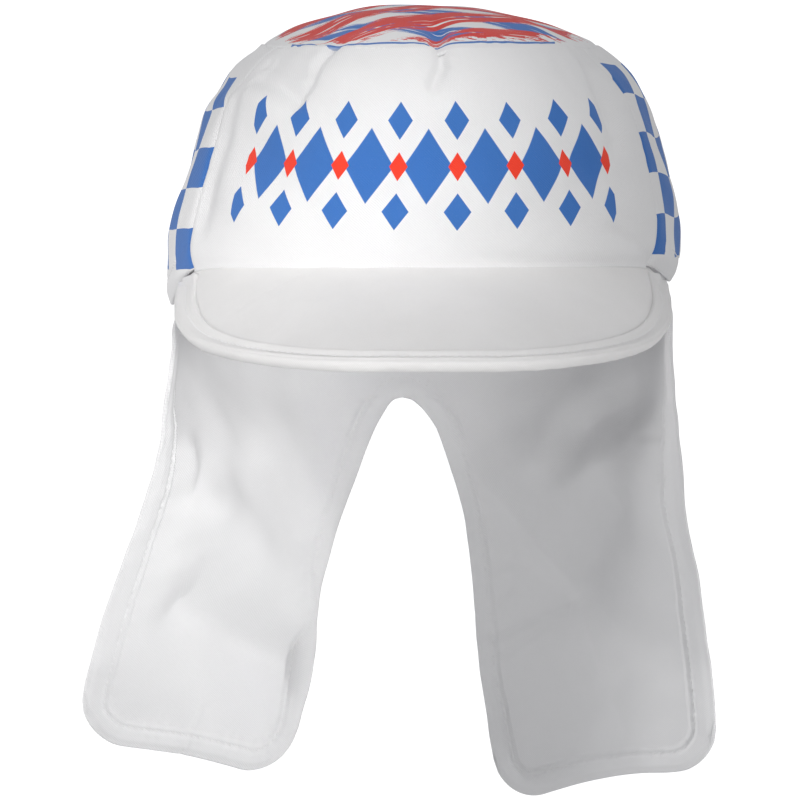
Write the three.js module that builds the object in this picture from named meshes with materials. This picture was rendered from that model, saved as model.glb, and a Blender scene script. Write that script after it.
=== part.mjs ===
// Legionnaire cap: a soft cotton sun cap with a sewn peak and a neck flap in two lobes.
// Millimetres, +Z up. The front faces -Y, and left and right are as seen from the front.
// The origin is the centre of the head opening, level with the crown's lower edge at the sides.
import * as THREE from "three";

// Driving dimensions
const cloth = 1.6; // wall of the crown and the flap
const gap = 0.3; // clearance between sewn pieces
const fold = 0.25; // extra room where the flap lies against the inside of the crown
const hemWidth = 9; // turned hem round the flap
const hemCloth = 2.6; // three layers of cloth in that hem
const tuck = 7; // how far the flap reaches up inside the crown
const frontSeamAngle = 62; // degrees from the front to the seam between front and side panels
const peakSeamAngle = 66; // degrees from the front to each end of the peak
const flapStartAngle = 78; // degrees from the front to the flap's front edges
const peakPlate = 2.4; // stiffened, cloth-covered peak
const peakArch = 1.6; // how far the peak's middle rises between the crown and its edge
const bindingCloth = 1.5; // strip folded round the peak's edge
const bindingClear = 1.2; // room between the binding and the crown's outer face
const endShare = 0.985; // the plate stops this share of the way to the binding's ends
const apexHeight = 102.2; // highest point of the crown
const domePower = 2.4; // how flat the top panel is
const notchHeight = -51.8; // top of the notch at the centre back
const notchCentre = -7; // the notch sits a little to the left

// Crown wall: half sizes of its outline on the way up from the lower edge to the top seam
const wallRows = [
  { rise: 0.0, width: 89.4, front: 96.2, back: 94.6, lean: -0.6 },
  { rise: 0.05, width: 91.3, front: 97.4, back: 96.8, lean: 0.0 },
  { rise: 0.13, width: 91.8, front: 98.2, back: 97.8, lean: 0.4 },
  { rise: 0.28, width: 90.4, front: 98.6, back: 97.6, lean: 0.8 },
  { rise: 0.51, width: 85.4, front: 97.2, back: 94.6, lean: 1.5 },
  { rise: 0.7, width: 80.4, front: 93.8, back: 90.0, lean: 1.6 },
  { rise: 0.81, width: 76.0, front: 90.4, back: 85.6, lean: 1.3 },
  { rise: 0.9, width: 70.2, front: 86.0, back: 80.4, lean: 1.5 },
  { rise: 1.0, width: 59.9, front: 79.6, back: 72.0, lean: 2.7 },
];

// Height of the crown's lower edge round the head, on the left and on the right, and of the top seam
const edgeRows = [
  { angle: 0, left: 19.4, right: 19.4, seam: 91.0 },
  { angle: 30, left: 18.0, right: 18.2, seam: 90.6 },
  { angle: 57, left: 14.4, right: 15.2, seam: 89.4 },
  { angle: 66, left: 10.4, right: 12.2, seam: 88.8 },
  { angle: 76, left: 1.5, right: 7.4, seam: 88.2 },
  { angle: 88, left: -4.6, right: 3.6, seam: 87.6 },
  { angle: 120, left: -5.0, right: 0.8, seam: 86.0 },
  { angle: 180, left: -3.0, right: -3.0, seam: 84.0 },
];

// Creases pressed into the crown: each runs from one angle and rise to another
const wallCreases = [
  { angle: -92, rise: 0.84, toAngle: -52, toRise: 0.88, width: 6, depth: 2 },
  { angle: -52, rise: 0.88, toAngle: -36, toRise: 0.8, width: 6, depth: 2.6 },
  { angle: -33, rise: 1, toAngle: -33, toRise: 0.82, width: 5, depth: 1.4 },
  { angle: 3, rise: 1, toAngle: 3, toRise: 0.85, width: 6, depth: 1.8 },
  { angle: 70, rise: 0.98, toAngle: 54.5, toRise: 0.88, width: 6, depth: 1.4 },
  { angle: 54.5, rise: 0.88, toAngle: 50, toRise: 0.57, width: 6, depth: 2.2 },
  { angle: 46, rise: 0.16, toAngle: 60, toRise: 0.05, width: 6, depth: 1.6 },
  { angle: -58, rise: 0.55, toAngle: -58, toRise: 0.28, width: 7, depth: 1.4 },
];

// Dents in the top panel, by their place in plan
const topDents = [
  { x: 4, y: -56, toX: 3, toY: -84, width: 8, depth: 2.4 },
  { x: -40, y: -40, toX: -24, toY: -78, width: 9, depth: 2.4 },
  { x: 30, y: 10, toX: -20, toY: 30, width: 22, depth: 1.8 },
];

// Peak: points of its free edge from the middle to one end, with the crown angle each row runs out from
const peakRows = [
  { seam: 0, x: 0, y: -160.5, z: -5.8, binding: 7.2 },
  { seam: 14, x: 32, y: -155.5, z: -6.2, binding: 7.4 },
  { seam: 28, x: 58, y: -134.5, z: -6.6, binding: 7.8 },
  { seam: 40, x: 75, y: -105, z: -6.6, binding: 8.8 },
  { seam: 50, x: 83.4, y: -76, z: -3.8, binding: 10 },
  { seam: 59, x: 85.4, y: -54, z: 0.6, binding: 12 },
  { seam: 66, x: 85.2, y: -43, z: 5.6, binding: 14 },
];

// Neck flap: one row for each level, with the front edges, the inner edges and how far each front
// edge is turned to the front (90 follows the head, 0 faces straight ahead)
const flapRows = [
  { level: -18, leftX: -88.9, rightX: 88.9, edgeY: -16, backY: 94.5, leftTurn: 94, rightTurn: 92 },
  { level: -38, leftX: -91.8, rightX: 90.4, edgeY: -11, backY: 97, leftTurn: 82, rightTurn: 76 },
  { level: -56, leftX: -95.2, rightX: 92.4, edgeY: -5, backY: 98.5, leftTurn: 58, rightTurn: 56 },
  { level: -75, leftX: -100.2, rightX: 94.6, edgeY: 2, backY: 98.5, leftTurn: 38, rightTurn: 40 },
  { level: -105, leftX: -110.4, rightX: 100.6, edgeY: 12, backY: 96, leftTurn: 22, rightTurn: 30 },
  { level: -130, leftX: -119.0, rightX: 104.8, edgeY: 20, backY: 93, leftTurn: 14, rightTurn: 24 },
  { level: -155, leftX: -125.0, rightX: 108.4, edgeY: 27, backY: 90, leftTurn: 12, rightTurn: 20 },
  { level: -180, leftX: -125.4, rightX: 109.8, edgeY: 32, backY: 87, leftTurn: 14, rightTurn: 22 },
  { level: -206, leftX: -124.4, rightX: 110.0, edgeY: 35, backY: 84, leftTurn: 16, rightTurn: 24 },
];

// The two lobes: level of the lower edge at the outer and inner side, radius of the corners, and how
// far the middle of the edge is drawn up
const lobes = {
  left: { outer: -170, inner: -197, outerRadius: 14, innerRadius: 20, wave: 1 },
  right: { outer: -181, inner: -206.8, outerRadius: 14, innerRadius: 17, wave: 2.5 },
};

// Notch between the lobes: half its width and its middle, measured down from its top
const notchRows = [
  { below: 0, half: 0, middle: 0 },
  { below: 0.5, half: 2.7, middle: 0.1 },
  { below: 2, half: 5.2, middle: 0.3 },
  { below: 6, half: 8.6, middle: 1 },
  { below: 13, half: 12.8, middle: 1.4 },
  { below: 28, half: 18.4, middle: 0.9 },
  { below: 50, half: 25.6, middle: -0.4 },
  { below: 74, half: 30.4, middle: -2.2 },
  { below: 110, half: 33.8, middle: -2.6 },
  { below: 155, half: 45.6, middle: -5.4 },
];

// Soft folds of the lobes: share across from the front edge and level, start and end
const flapFolds = [
  { side: "left", share: 0.33, level: -121, toShare: 0.63, toLevel: -139, width: 11, depth: 5.5 },
  { side: "left", share: 0.63, level: -139, toShare: 0.98, toLevel: -156, width: 11, depth: 5.5 },
  { side: "left", share: 0.24, level: -82, toShare: 0.52, toLevel: -102, width: 12, depth: -4 },
  { side: "left", share: 0.52, level: -102, toShare: 0.92, toLevel: -130, width: 12, depth: -4 },
  { side: "left", share: 0.14, level: -60, toShare: 0.19, toLevel: -90, width: 7, depth: -1.8 },
  { side: "left", share: 0.2, level: -73, toShare: 0.84, toLevel: -75, width: 9, depth: 1.4 },
  { side: "right", share: 0.34, level: -86, toShare: 0.56, toLevel: -122, width: 13, depth: 5.6 },
  { side: "right", share: 0.89, level: -82, toShare: 0.56, toLevel: -119, width: 9, depth: -2.6 },
  { side: "right", share: 0.56, level: -119, toShare: 0.42, toLevel: -150, width: 9, depth: -2.2 },
  { side: "right", share: 0.5, level: -60, toShare: 0.2, toLevel: -38, width: 12, depth: 5.6 },
  { side: "right", share: 0.64, level: -70, toShare: 0.5, toLevel: -44, width: 9, depth: -2.4 },
  { side: "right", share: 0.93, level: -72, toShare: 0.93, toLevel: -160, width: 6, depth: -1.2 },
];

const topSeamWidth = wallRows[wallRows.length - 1].width; // half the top panel's width
const radians = THREE.MathUtils.degToRad;
const mix = THREE.MathUtils.lerp;
const smooth = THREE.MathUtils.smoothstep;

// Reads a column of a table at a place between its rows, on a smooth curve through them.
function along(rows, key, column, place) {
  const last = rows.length - 1;
  const ascending = rows[last][key] > rows[0][key];
  let i = 0;
  while (i < last - 1 && (ascending ? place > rows[i + 1][key] : place < rows[i + 1][key])) i += 1;
  const before = rows[Math.max(i - 1, 0)];
  const from = rows[i];
  const to = rows[i + 1];
  const after = rows[Math.min(i + 2, last)];
  const span = to[key] - from[key];
  const t = THREE.MathUtils.clamp((place - from[key]) / span, 0, 1);
  const slopeFrom = (to[column] - before[column]) / (to[key] - before[key]);
  const slopeTo = (after[column] - from[column]) / (after[key] - from[key]);
  const t2 = t * t;
  const t3 = t2 * t;
  return (
    (2 * t3 - 3 * t2 + 1) * from[column] +
    (t3 - 2 * t2 + t) * span * slopeFrom +
    (3 * t2 - 2 * t3) * to[column] +
    (t3 - t2) * span * slopeTo
  );
}

// How deep a set of straight creases is at a place: the deepest dent and the highest ridge there count,
// and each fades out sideways and past its ends.
function pressed(creases, u, v, startOf, endOf) {
  let dent = 0;
  let ridge = 0;
  for (const crease of creases) {
    const a = startOf(crease);
    const b = endOf(crease);
    const run = b.clone().sub(a);
    const t = THREE.MathUtils.clamp(new THREE.Vector2(u, v).sub(a).dot(run) / run.lengthSq(), 0, 1);
    const away = a.addScaledVector(run, t).distanceTo(new THREE.Vector2(u, v)) / crease.width;
    const depth = crease.depth * Math.exp(-away * away);
    dent = Math.max(dent, depth);
    ridge = Math.min(ridge, depth);
  }
  return dent + ridge;
}

// Evenly spaced numbers from one value to another.
function spaced(from, to, steps) {
  return Array.from({ length: steps + 1 }, (_, i) => mix(from, to, i / steps));
}

// Crown

const mmPerRadian = 88; // mean radius of the wall, which turns its angles into lengths
const mmPerRise = 84; // mean height of the wall, which turns its rises into lengths
const creaseDrop = 0.35; // how much a crease lowers the wall beside how far it goes in

// The edge table's place for any angle, also a little past the centre back.
const foldedAngle = (angle) => 180 - Math.abs(180 - Math.abs(angle));
const seamAt = (angle) => along(edgeRows, "angle", "seam", foldedAngle(angle));

// Height of the crown's lower edge at an angle, which differs a little between left and right.
function lowerEdgeAt(angle) {
  const onRight = angle > 0 === Math.abs(angle) <= 180;
  return along(edgeRows, "angle", onRight ? "right" : "left", foldedAngle(angle));
}

// A point of the crown's outer face: angle in degrees from the front, + to the right, and rise from 0 to 1.
function wallPoint(angle, rise) {
  const turn = radians(angle);
  const depth = along(wallRows, "rise", Math.cos(turn) > 0 ? "front" : "back", rise);
  const sunk = pressed(
    wallCreases,
    turn * mmPerRadian,
    rise * mmPerRise,
    (c) => new THREE.Vector2(radians(c.angle) * mmPerRadian, c.rise * mmPerRise),
    (c) => new THREE.Vector2(radians(c.toAngle) * mmPerRadian, c.toRise * mmPerRise),
  );
  const width = along(wallRows, "rise", "width", rise);
  return new THREE.Vector3(
    along(wallRows, "rise", "lean", rise) + (width - sunk) * Math.sin(turn),
    -(depth - sunk) * Math.cos(turn),
    mix(lowerEdgeAt(angle), seamAt(angle), rise) - creaseDrop * sunk * rise,
  );
}

// A point of the top panel's outer face: reach is 0 at the middle and 1 at the seam.
function topPoint(angle, reach) {
  const seam = wallPoint(angle, 1);
  const dome = 1 - reach ** domePower;
  const x = seam.x * reach;
  const y = seam.y * reach;
  const dent = pressed(
    topDents,
    x,
    y,
    (d) => new THREE.Vector2(d.x, d.y),
    (d) => new THREE.Vector2(d.toX, d.toY),
  );
  const fade = 1 - reach ** 6;
  return new THREE.Vector3(x, y, mix(seam.z, apexHeight, dome) - dent * fade);
}

// Peak

// A point of the peak's top face: across from -1 to 1, out from 0 at the crown to 1 at the free edge.
function peakPoint(across, out) {
  const seamAngle = across * peakSeamAngle;
  const side = Math.sign(across) || 1;
  const bottom = wallPoint(seamAngle, 0);
  const inset = (bottom.length() - cloth) / bottom.length();
  const column = (name) => along(peakRows, "seam", name, Math.abs(seamAngle));
  const arch = peakArch * Math.sin(Math.PI * out) * Math.cos((across * Math.PI) / 2);
  return new THREE.Vector3(
    mix(bottom.x * inset, side * column("x"), out),
    mix(bottom.y * inset, column("y"), out),
    mix(lowerEdgeAt(seamAngle) - gap - 0.4, column("z"), out) + arch,
  );
}

// How long a row of the peak is, from the crown to the free edge.
const peakLength = (across) => peakPoint(across, 0).distanceTo(peakPoint(across, 1));

// A unit vector square to the peak's top face, pointing up.
function peakUp(across, out) {
  const step = 0.01;
  const sideways = peakPoint(Math.min(across + step, 1), out).sub(peakPoint(Math.max(across - step, -1), out));
  const outwards = peakPoint(across, Math.min(out + step, 1)).sub(peakPoint(across, Math.max(out - step, 0)));
  const up = outwards.cross(sideways).normalize();
  return up.z < 0 ? up.negate() : up;
}

// Neck flap

// The flap's line in plan at a level, from one front edge round to the centre back, or below the
// notch's top only as far as the inner edge of its lobe.
function flapCurve(side, level) {
  const sign = side === "left" ? -1 : 1;
  const column = (name) => along(flapRows, "level", name, level);
  const below = Math.max(notchHeight - level, 0);
  const half = along(notchRows, "below", "half", below);
  const middle = notchCentre + along(notchRows, "below", "middle", below);
  const edge = new THREE.Vector3(column(`${side}X`), column("edgeY"), 0);
  const back = new THREE.Vector3(middle, column("backY"), 0);
  const turn = radians(column(`${side}Turn`));
  const reach = edge.distanceTo(back) * 0.4;
  const round = mix(1.15, 0.9, smooth(-level, 20, 110));
  const whole = new THREE.CubicBezierCurve3(
    edge,
    edge.clone().add(new THREE.Vector3(-sign * Math.cos(turn) * reach, Math.sin(turn) * reach, 0)),
    back.clone().add(new THREE.Vector3(sign * reach * round, 0, 0)),
    back,
  );
  const curve = half > 0 ? cutShort(whole, middle + sign * half) : whole;
  curve.arcLengthDivisions = 40;
  return curve;
}

// The part of a curve from its start to where it reaches a given x.
function cutShort(curve, x) {
  const { v0, v1, v2, v3 } = curve;
  let from = 0;
  let to = 1;
  for (let i = 0; i < 24; i += 1) {
    const t = (from + to) / 2;
    if (Math.abs(curve.getPoint(t).x - v3.x) > Math.abs(x - v3.x)) from = t;
    else to = t;
  }
  const between = (a, b) => a.clone().lerp(b, from);
  const first = between(v0, v1);
  const second = between(v1, v2);
  const third = between(v2, v3);
  const early = between(first, second);
  const late = between(second, third);
  return new THREE.CubicBezierCurve3(v0, first, early, between(early, late));
}

// A point of the flap's outer face: side, share from the front edge (0) to the inner edge (1), level in mm.
function flapPoint(side, share, level) {
  const sign = side === "left" ? -1 : 1;
  const curve = flapCurve(side, level);
  const run = curve.getLength();
  const point = curve.getPointAt(share);
  const tangent = curve.getTangentAt(share);
  const pushed = pressed(
    flapFolds.filter((f) => f.side === side),
    share * run,
    level,
    (f) => new THREE.Vector2(f.share * run, f.level),
    (f) => new THREE.Vector2(f.toShare * run, f.toLevel),
  );
  const free = smooth(-level, 24, 54) * smooth((1 - share) * run, 0, 8);
  point.x += sign * tangent.y * pushed * free;
  point.y -= sign * tangent.x * pushed * free;
  // The top of the flap lies against the inside of the crown.
  const angle = sign * mix(flapStartAngle, 180, share);
  const lower = lowerEdgeAt(angle);
  const held = smooth(level, lower - 14, lower - 1);
  if (held > 0) {
    const rise = THREE.MathUtils.clamp((level - lower) / (seamAt(angle) - lower), 0, 1);
    const wall = wallPoint(angle, rise);
    const across = Math.hypot(wall.x, wall.y);
    const inset = (across - cloth - gap - fold) / across;
    point.lerp(new THREE.Vector3(wall.x * inset, wall.y * inset, 0), held);
  }
  point.z = level;
  return point;
}

// A point of the flap's inner face, square to the outer one.
function flapInner(side, share, level) {
  const point = flapPoint(side, share, level);
  const thickness = flapThickness(side, share, level);
  if (share === 1 && level >= notchHeight) return point.add(new THREE.Vector3(0, -thickness, 0));
  const step = 0.004;
  const across = flapPoint(side, Math.min(share + step, 1), level)
    .sub(flapPoint(side, Math.max(share - step, 0), level));
  const up = flapPoint(side, share, level + 0.5).sub(flapPoint(side, share, level - 0.5));
  const inward = across.cross(up).normalize().multiplyScalar(side === "left" ? 1 : -1);
  return point.addScaledVector(inward, thickness);
}

// The cloth is thicker within a hem's width of every free edge.
function flapThickness(side, share, level) {
  const run = flapCurve(side, level).getLength();
  const fromBack = (1 - share) * run;
  const nearest = Math.min(
    share * run,
    Math.hypot(fromBack, Math.max(level - notchHeight, 0)),
    level - lobeBottom(side, share * run, run),
  );
  return nearest < hemWidth + 0.4 ? hemCloth : cloth;
}

// Level of the flap's upper edge, inside the crown.
const flapTop = (side, share) =>
  lowerEdgeAt((side === "left" ? -1 : 1) * mix(flapStartAngle, 180, share)) + tuck;

// Level of the lobe's lower edge, with its rounded corners, at a distance from the front edge.
function lobeBottom(side, distance, run) {
  const { outer, inner, outerRadius, innerRadius, wave } = lobes[side];
  const corner = (from, radius) =>
    from < radius ? radius - Math.sqrt(radius ** 2 - (radius - from) ** 2) : 0;
  const straight = mix(outer, inner, distance / run) + wave * Math.sin((Math.PI * distance) / run) ** 2;
  return straight + corner(distance, outerRadius) + corner(run - distance, innerRadius);
}

// Solids

// Adds two triangles for the square a, b, c, d.
function addSquare(faces, a, b, c, d) {
  faces.push(a, b, c, a, c, d);
}

// Adds a sheet given as rows of points.
function addSheet(faces, rows, turned) {
  for (let i = 0; i + 1 < rows.length; i += 1)
    for (let j = 0; j + 1 < rows[i].length; j += 1) {
      const corners = [rows[i][j], rows[i][j + 1], rows[i + 1][j + 1], rows[i + 1][j]];
      addSquare(faces, ...(turned ? corners.reverse() : corners));
    }
}

// Makes a named mesh from a list of triangle corners, turned to face out.
function meshOf(name, faces, material) {
  let volume = 0;
  for (let i = 0; i < faces.length; i += 3)
    volume += faces[i].dot(faces[i + 1].clone().cross(faces[i + 2]));
  const ordered = [];
  for (let i = 0; i < faces.length; i += 3) {
    const [a, b, c] = volume > 0 ? faces.slice(i, i + 3) : faces.slice(i, i + 3).reverse();
    if (a.distanceTo(b) > 1e-4 && b.distanceTo(c) > 1e-4 && c.distanceTo(a) > 1e-4) ordered.push(a, b, c);
  }
  const geometry = new THREE.BufferGeometry().setFromPoints(ordered);
  geometry.computeVertexNormals();
  const mesh = new THREE.Mesh(geometry, material);
  mesh.name = name;
  return mesh;
}

// Closes two matching sheets, outer and inner, into a wall by joining their four edges.
function wallBetween(name, outer, inner, material) {
  const faces = [];
  addSheet(faces, outer, false);
  addSheet(faces, inner, true);
  const last = outer.length - 1;
  const end = (rows) => rows.map((row) => row[row.length - 1]);
  const start = (rows) => rows.map((row) => row[0]);
  addSheet(faces, [inner[0], outer[0]], false);
  addSheet(faces, [outer[last], inner[last]], false);
  addSheet(faces, [start(outer), start(inner)], false);
  addSheet(faces, [end(inner), end(outer)], false);
  return meshOf(name, faces, material);
}

// A unit vector square to the crown wall's outer face, pointing out.
function wallNormal(angle, rise) {
  const around = wallPoint(angle + 0.5, rise).sub(wallPoint(angle - 0.5, rise));
  const up = wallPoint(angle, Math.min(rise + 0.01, 1)).sub(wallPoint(angle, Math.max(rise - 0.01, 0)));
  return around.cross(up).normalize();
}

// A unit vector square to the top panel's outer face, pointing up.
function topNormal(angle, reach) {
  const around = topPoint(angle + 0.5, reach).sub(topPoint(angle - 0.5, reach));
  const inwards = topPoint(angle, reach - 0.02).sub(topPoint(angle, reach));
  return around.cross(inwards).normalize();
}

// The mitre of the top seam: both panels end on the same slanted face, a gap apart.
const seamInset = (angle) =>
  wallNormal(angle, 1).add(topNormal(angle, 1)).normalize().multiplyScalar(-cloth);

// One panel of the crown wall between two seams.
function crownPanel(name, fromAngle, toAngle, columns, material) {
  const seamGap = THREE.MathUtils.radToDeg(gap / 2 / topSeamWidth);
  const rises = [0, 0.05, 0.13, 0.26, 0.4, 0.54, 0.67, 0.78, 0.87, 0.94, 1];
  const angles = spaced(fromAngle + seamGap, toAngle - seamGap, columns);
  const innerPoint = (angle, rise) =>
    wallPoint(angle, rise).add(
      rise === 1 ? seamInset(angle) : wallNormal(angle, rise).multiplyScalar(-cloth),
    );
  const outer = angles.map((angle) => rises.map((rise) => wallPoint(angle, rise)));
  const inner = angles.map((angle) => rises.map((rise) => innerPoint(angle, rise)));
  return wallBetween(name, outer, inner, material);
}

// The top panel: rings from the middle out to the seam, on both faces.
function topPanel(material) {
  const around = 44;
  const seamReach = 1 - (1.6 * gap) / topSeamWidth;
  const reaches = [0.24, 0.46, 0.66, 0.82, 0.93, seamReach];
  const angles = spaced(-180, 180, around);
  const drop = new THREE.Vector3(0, 0, -cloth);
  const outer = reaches.map((reach) => angles.map((angle) => topPoint(angle, reach)));
  const inner = reaches.map((reach) =>
    angles.map((angle) => topPoint(angle, reach).add(reach === seamReach ? seamInset(angle) : drop)),
  );
  const top = topPoint(0, 0);
  const under = top.clone().add(drop);
  const faces = [];
  for (let j = 0; j < around; j += 1) {
    faces.push(top, outer[0][j + 1], outer[0][j]);
    faces.push(under, inner[0][j], inner[0][j + 1]);
  }
  addSheet(faces, outer, false);
  addSheet(faces, inner, true);
  addSheet(faces, [outer[outer.length - 1], inner[inner.length - 1]], false);
  return meshOf("top_panel", faces, material);
}

// The peak's plate, which stops inside the folded binding.
const peakColumns = 34;

function peakSolid(material) {
  const acrosses = spaced(-1, 1, peakColumns);
  const outs = [0, 0.18, 0.36, 0.54, 0.72, 0.88, 1];
  const shrink = (across) => 1 - (bindingCloth + 2 * gap) / peakLength(across);
  const at = (across, out, depth) =>
    peakPoint(across, out * shrink(across)).addScaledVector(peakUp(across, out * shrink(across)), -depth);
  const outer = acrosses.map((across) => outs.map((out) => at(across * endShare, out, 0)));
  const inner = acrosses.map((across) => outs.map((out) => at(across * endShare, out, peakPlate)));
  return wallBetween("peak", outer, inner, material);
}

// One section of the binding, a narrow U round the free edge, on its outer or its inner face.
function bindingSection(across, inside) {
  const length = peakLength(across);
  const width = along(peakRows, "seam", "binding", Math.abs(across) * peakSeamAngle);
  const start = Math.max(1 - width / length, (cloth + bindingClear) / length);
  const lift = inside ? 1.6 * gap : 1.6 * gap + bindingCloth;
  const tipInset = inside ? bindingCloth : 0;
  const rollStart = 1 - (inside ? 2.2 : 1.4) / length;
  const half = mix(start, rollStart, 0.5);
  const above = (out) => peakPoint(across, out).addScaledVector(peakUp(across, out), lift);
  const below = (out) => peakPoint(across, out).addScaledVector(peakUp(across, out), -peakPlate - lift);
  const outward = peakPoint(across, 1).sub(peakPoint(across, start)).normalize();
  const tip = (height) =>
    peakPoint(across, 1)
      .addScaledVector(peakUp(across, 1), height - peakPlate / 2)
      .addScaledVector(outward, -tipInset);
  return [
    above(start),
    above(half),
    above(rollStart),
    tip(0.9),
    tip(-0.9),
    below(rollStart),
    below(half),
    below(start),
  ];
}

function bindingSolid(material) {
  const acrosses = spaced(-1, 1, peakColumns);
  const outer = acrosses.map((across) => bindingSection(across, false));
  const inner = acrosses.map((across) => bindingSection(across, true));
  return wallBetween("peak_binding", outer, inner, material);
}

// The neck flap: a skirt down to the notch and two lobes below it, hemmed along the free edges.
const flapColumns = 19;
const skirtSteps = [0, 0.12, 0.24, 0.42, 0.62, 0.82, 0.845, 0.93, 1];
const lobeSteps = [0, 0.015, 0.045, 0.1, 0.19, 0.31, 0.43, 0.55, 0.67, 0.79, 0.88, 0.928, 0.938, 0.97, 1];

// Share of the way across at a column, with columns at the hem's edge on both sides.
function columnShare(side, level, column) {
  const run = flapCurve(side, level).getLength();
  const hem = hemWidth / run;
  const turned = [0, 0.15 * hem, 0.5 * hem, hem];
  const step = 1.2 / run;
  const middle = spaced(hem + step, 1 - hem - step, flapColumns - 8);
  const shares = [...turned, ...middle, ...turned.map((share) => 1 - share).reverse()];
  return shares[column];
}

// Rows of points on both faces of one half of the skirt, or of one lobe.
function flapGrid(side, steps, isLobe) {
  const outer = [];
  const inner = [];
  for (const step of steps) {
    const outerRow = [];
    const innerRow = [];
    for (let column = 0; column <= flapColumns; column += 1) {
      const guess = isLobe ? mix(notchHeight, lobes[side].inner, step) : notchHeight;
      const run = flapCurve(side, guess).getLength();
      const near = columnShare(side, guess, column);
      const level = isLobe
        ? mix(notchHeight, lobeBottom(side, near * run, run), step)
        : mix(flapTop(side, near), notchHeight, step);
      const share = columnShare(side, level, column);
      outerRow.push(flapPoint(side, share, level));
      innerRow.push(flapInner(side, share, level));
    }
    outer.push(outerRow);
    inner.push(innerRow);
  }
  return { outer, inner };
}

function neckFlap(material) {
  const faces = [];
  const firstOf = (rows) => rows.map((row) => row[0]);
  const lastOf = (rows) => rows.map((row) => row[row.length - 1]);
  for (const side of ["left", "right"]) {
    const mirrored = side === "right";
    const skirt = flapGrid(side, skirtSteps, false);
    const lobe = flapGrid(side, lobeSteps, true);
    const foot = lobe.outer.length - 1;
    addSheet(faces, skirt.outer, mirrored);
    addSheet(faces, skirt.inner, !mirrored);
    addSheet(faces, lobe.outer, mirrored);
    addSheet(faces, lobe.inner, !mirrored);
    addSheet(faces, [skirt.inner[0], skirt.outer[0]], mirrored);
    addSheet(faces, [lobe.outer[foot], lobe.inner[foot]], mirrored);
    addSheet(faces, [firstOf(skirt.outer), firstOf(skirt.inner)], mirrored);
    addSheet(faces, [firstOf(lobe.outer), firstOf(lobe.inner)], mirrored);
    addSheet(faces, [lastOf(lobe.inner), lastOf(lobe.outer)], mirrored);
  }
  return meshOf("neck_flap", faces, material);
}

// Cap
const cotton = new THREE.MeshStandardMaterial({ color: 0xf0f0f2, roughness: 0.92, metalness: 0 });
const printedCotton = new THREE.MeshStandardMaterial({ color: 0xe2e6ee, roughness: 0.9, metalness: 0 });

const cap = new THREE.Group();
cap.add(
  crownPanel("front_panel", -frontSeamAngle, frontSeamAngle, 26, cotton),
  crownPanel("side_panel_left", -180, -frontSeamAngle, 22, printedCotton),
  crownPanel("side_panel_right", frontSeamAngle, 180, 22, printedCotton),
  topPanel(printedCotton),
  peakSolid(cotton),
  bindingSolid(cotton),
  neckFlap(cotton),
);

export default cap;
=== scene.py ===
# Looks of the legionnaire cap: fine cloth surfaces, seams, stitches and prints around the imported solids.
import math

import bpy
import numpy as np
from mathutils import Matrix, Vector
from mathutils.bvhtree import BVHTree
from mathutils.kdtree import KDTree


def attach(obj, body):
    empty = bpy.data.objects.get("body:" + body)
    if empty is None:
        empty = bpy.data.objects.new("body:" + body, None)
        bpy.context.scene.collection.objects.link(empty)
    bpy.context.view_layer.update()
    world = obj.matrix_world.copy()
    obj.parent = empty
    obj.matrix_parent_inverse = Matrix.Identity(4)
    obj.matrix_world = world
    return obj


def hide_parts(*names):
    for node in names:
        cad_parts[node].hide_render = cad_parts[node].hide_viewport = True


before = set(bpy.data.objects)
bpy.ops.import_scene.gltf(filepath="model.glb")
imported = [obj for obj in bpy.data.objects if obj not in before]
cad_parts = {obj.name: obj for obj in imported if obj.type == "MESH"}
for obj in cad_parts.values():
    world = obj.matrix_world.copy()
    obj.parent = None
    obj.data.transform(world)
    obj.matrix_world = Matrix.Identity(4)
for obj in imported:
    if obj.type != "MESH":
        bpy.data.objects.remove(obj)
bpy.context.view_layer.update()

# A millimetre in metres
MM = 0.001
# Sizes of the cap in millimetres, the same ones that its solids are made from; seams are in degrees
CLOTH = 1.6
GAP = 0.3
FOLD = 0.25
HEM_WIDTH = 9.0
HEM_CLOTH = 2.6
TUCK = 7.0
FRONT_SEAM = 62.0
PEAK_SEAM = 66.0
FLAP_START = 78.0
PEAK_PLATE = 2.4
PEAK_ARCH = 1.6
BINDING_CLOTH = 1.5
BINDING_CLEAR = 1.2
APEX = 102.2
DOME_POWER = 2.4
NOTCH_HEIGHT = -51.8
NOTCH_CENTRE = -7.0
MM_PER_RADIAN = 88.0
MM_PER_RISE = 84.0
CREASE_DROP = 0.35
# The finished cloth's folds are this many times as deep as the solid's
FOLD_DEPTH = 1.35
# Stitches: height over the crown's lower edge, and distance from the flap's inner hem fold
CROWN_STITCH_RISE = 8.5
HEM_STITCH_INSET = 1.7
# Prints: height of a check's square and its width in degrees, and the height of the front band's middle
CHECK_HEIGHT = 14.5
LEFT_SQUARE = 9.2
RIGHT_SQUARE = 9.8
RIGHT_CHECK_START = 66.5
BAND_MIDDLE = 52.0
BAND_PITCH = 19.0
# Height of the check's lowest row: at the front seam and just behind it, and round the back
LEFT_BASE = (12.1, 9.0)
RIGHT_BASE = (17.4, 13.4)
BACK_BASE = 10.0
# Grooves in the finished cloth: width and depth at the crown's seams, and under its stitches
SEAM_GROOVE = (0.9, 0.5)
WALL_TOP_GROOVE = (1.6, 0.7)
TOP_PANEL_GROOVE = (1.8, 0.7)
CROWN_STITCH_GROOVE = (0.8, 0.35)
# Groove of the flap's hem: its width, and its depth on the outer and the inner face
HEM_GROOVE_WIDTH = 0.9
HEM_GROOVE_OUTER = 0.25
HEM_GROOVE_INNER = 0.85
# Length over which puckers fade away from the crown's seams
PUCKER_FADE = 5.0
# Width and depth of the peak's faint creases
PEAK_CREASE = (1.0, 0.3)
# How far the rolled lip's middle stands in from the peak's edge
LIP_INSET = 1.2
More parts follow.
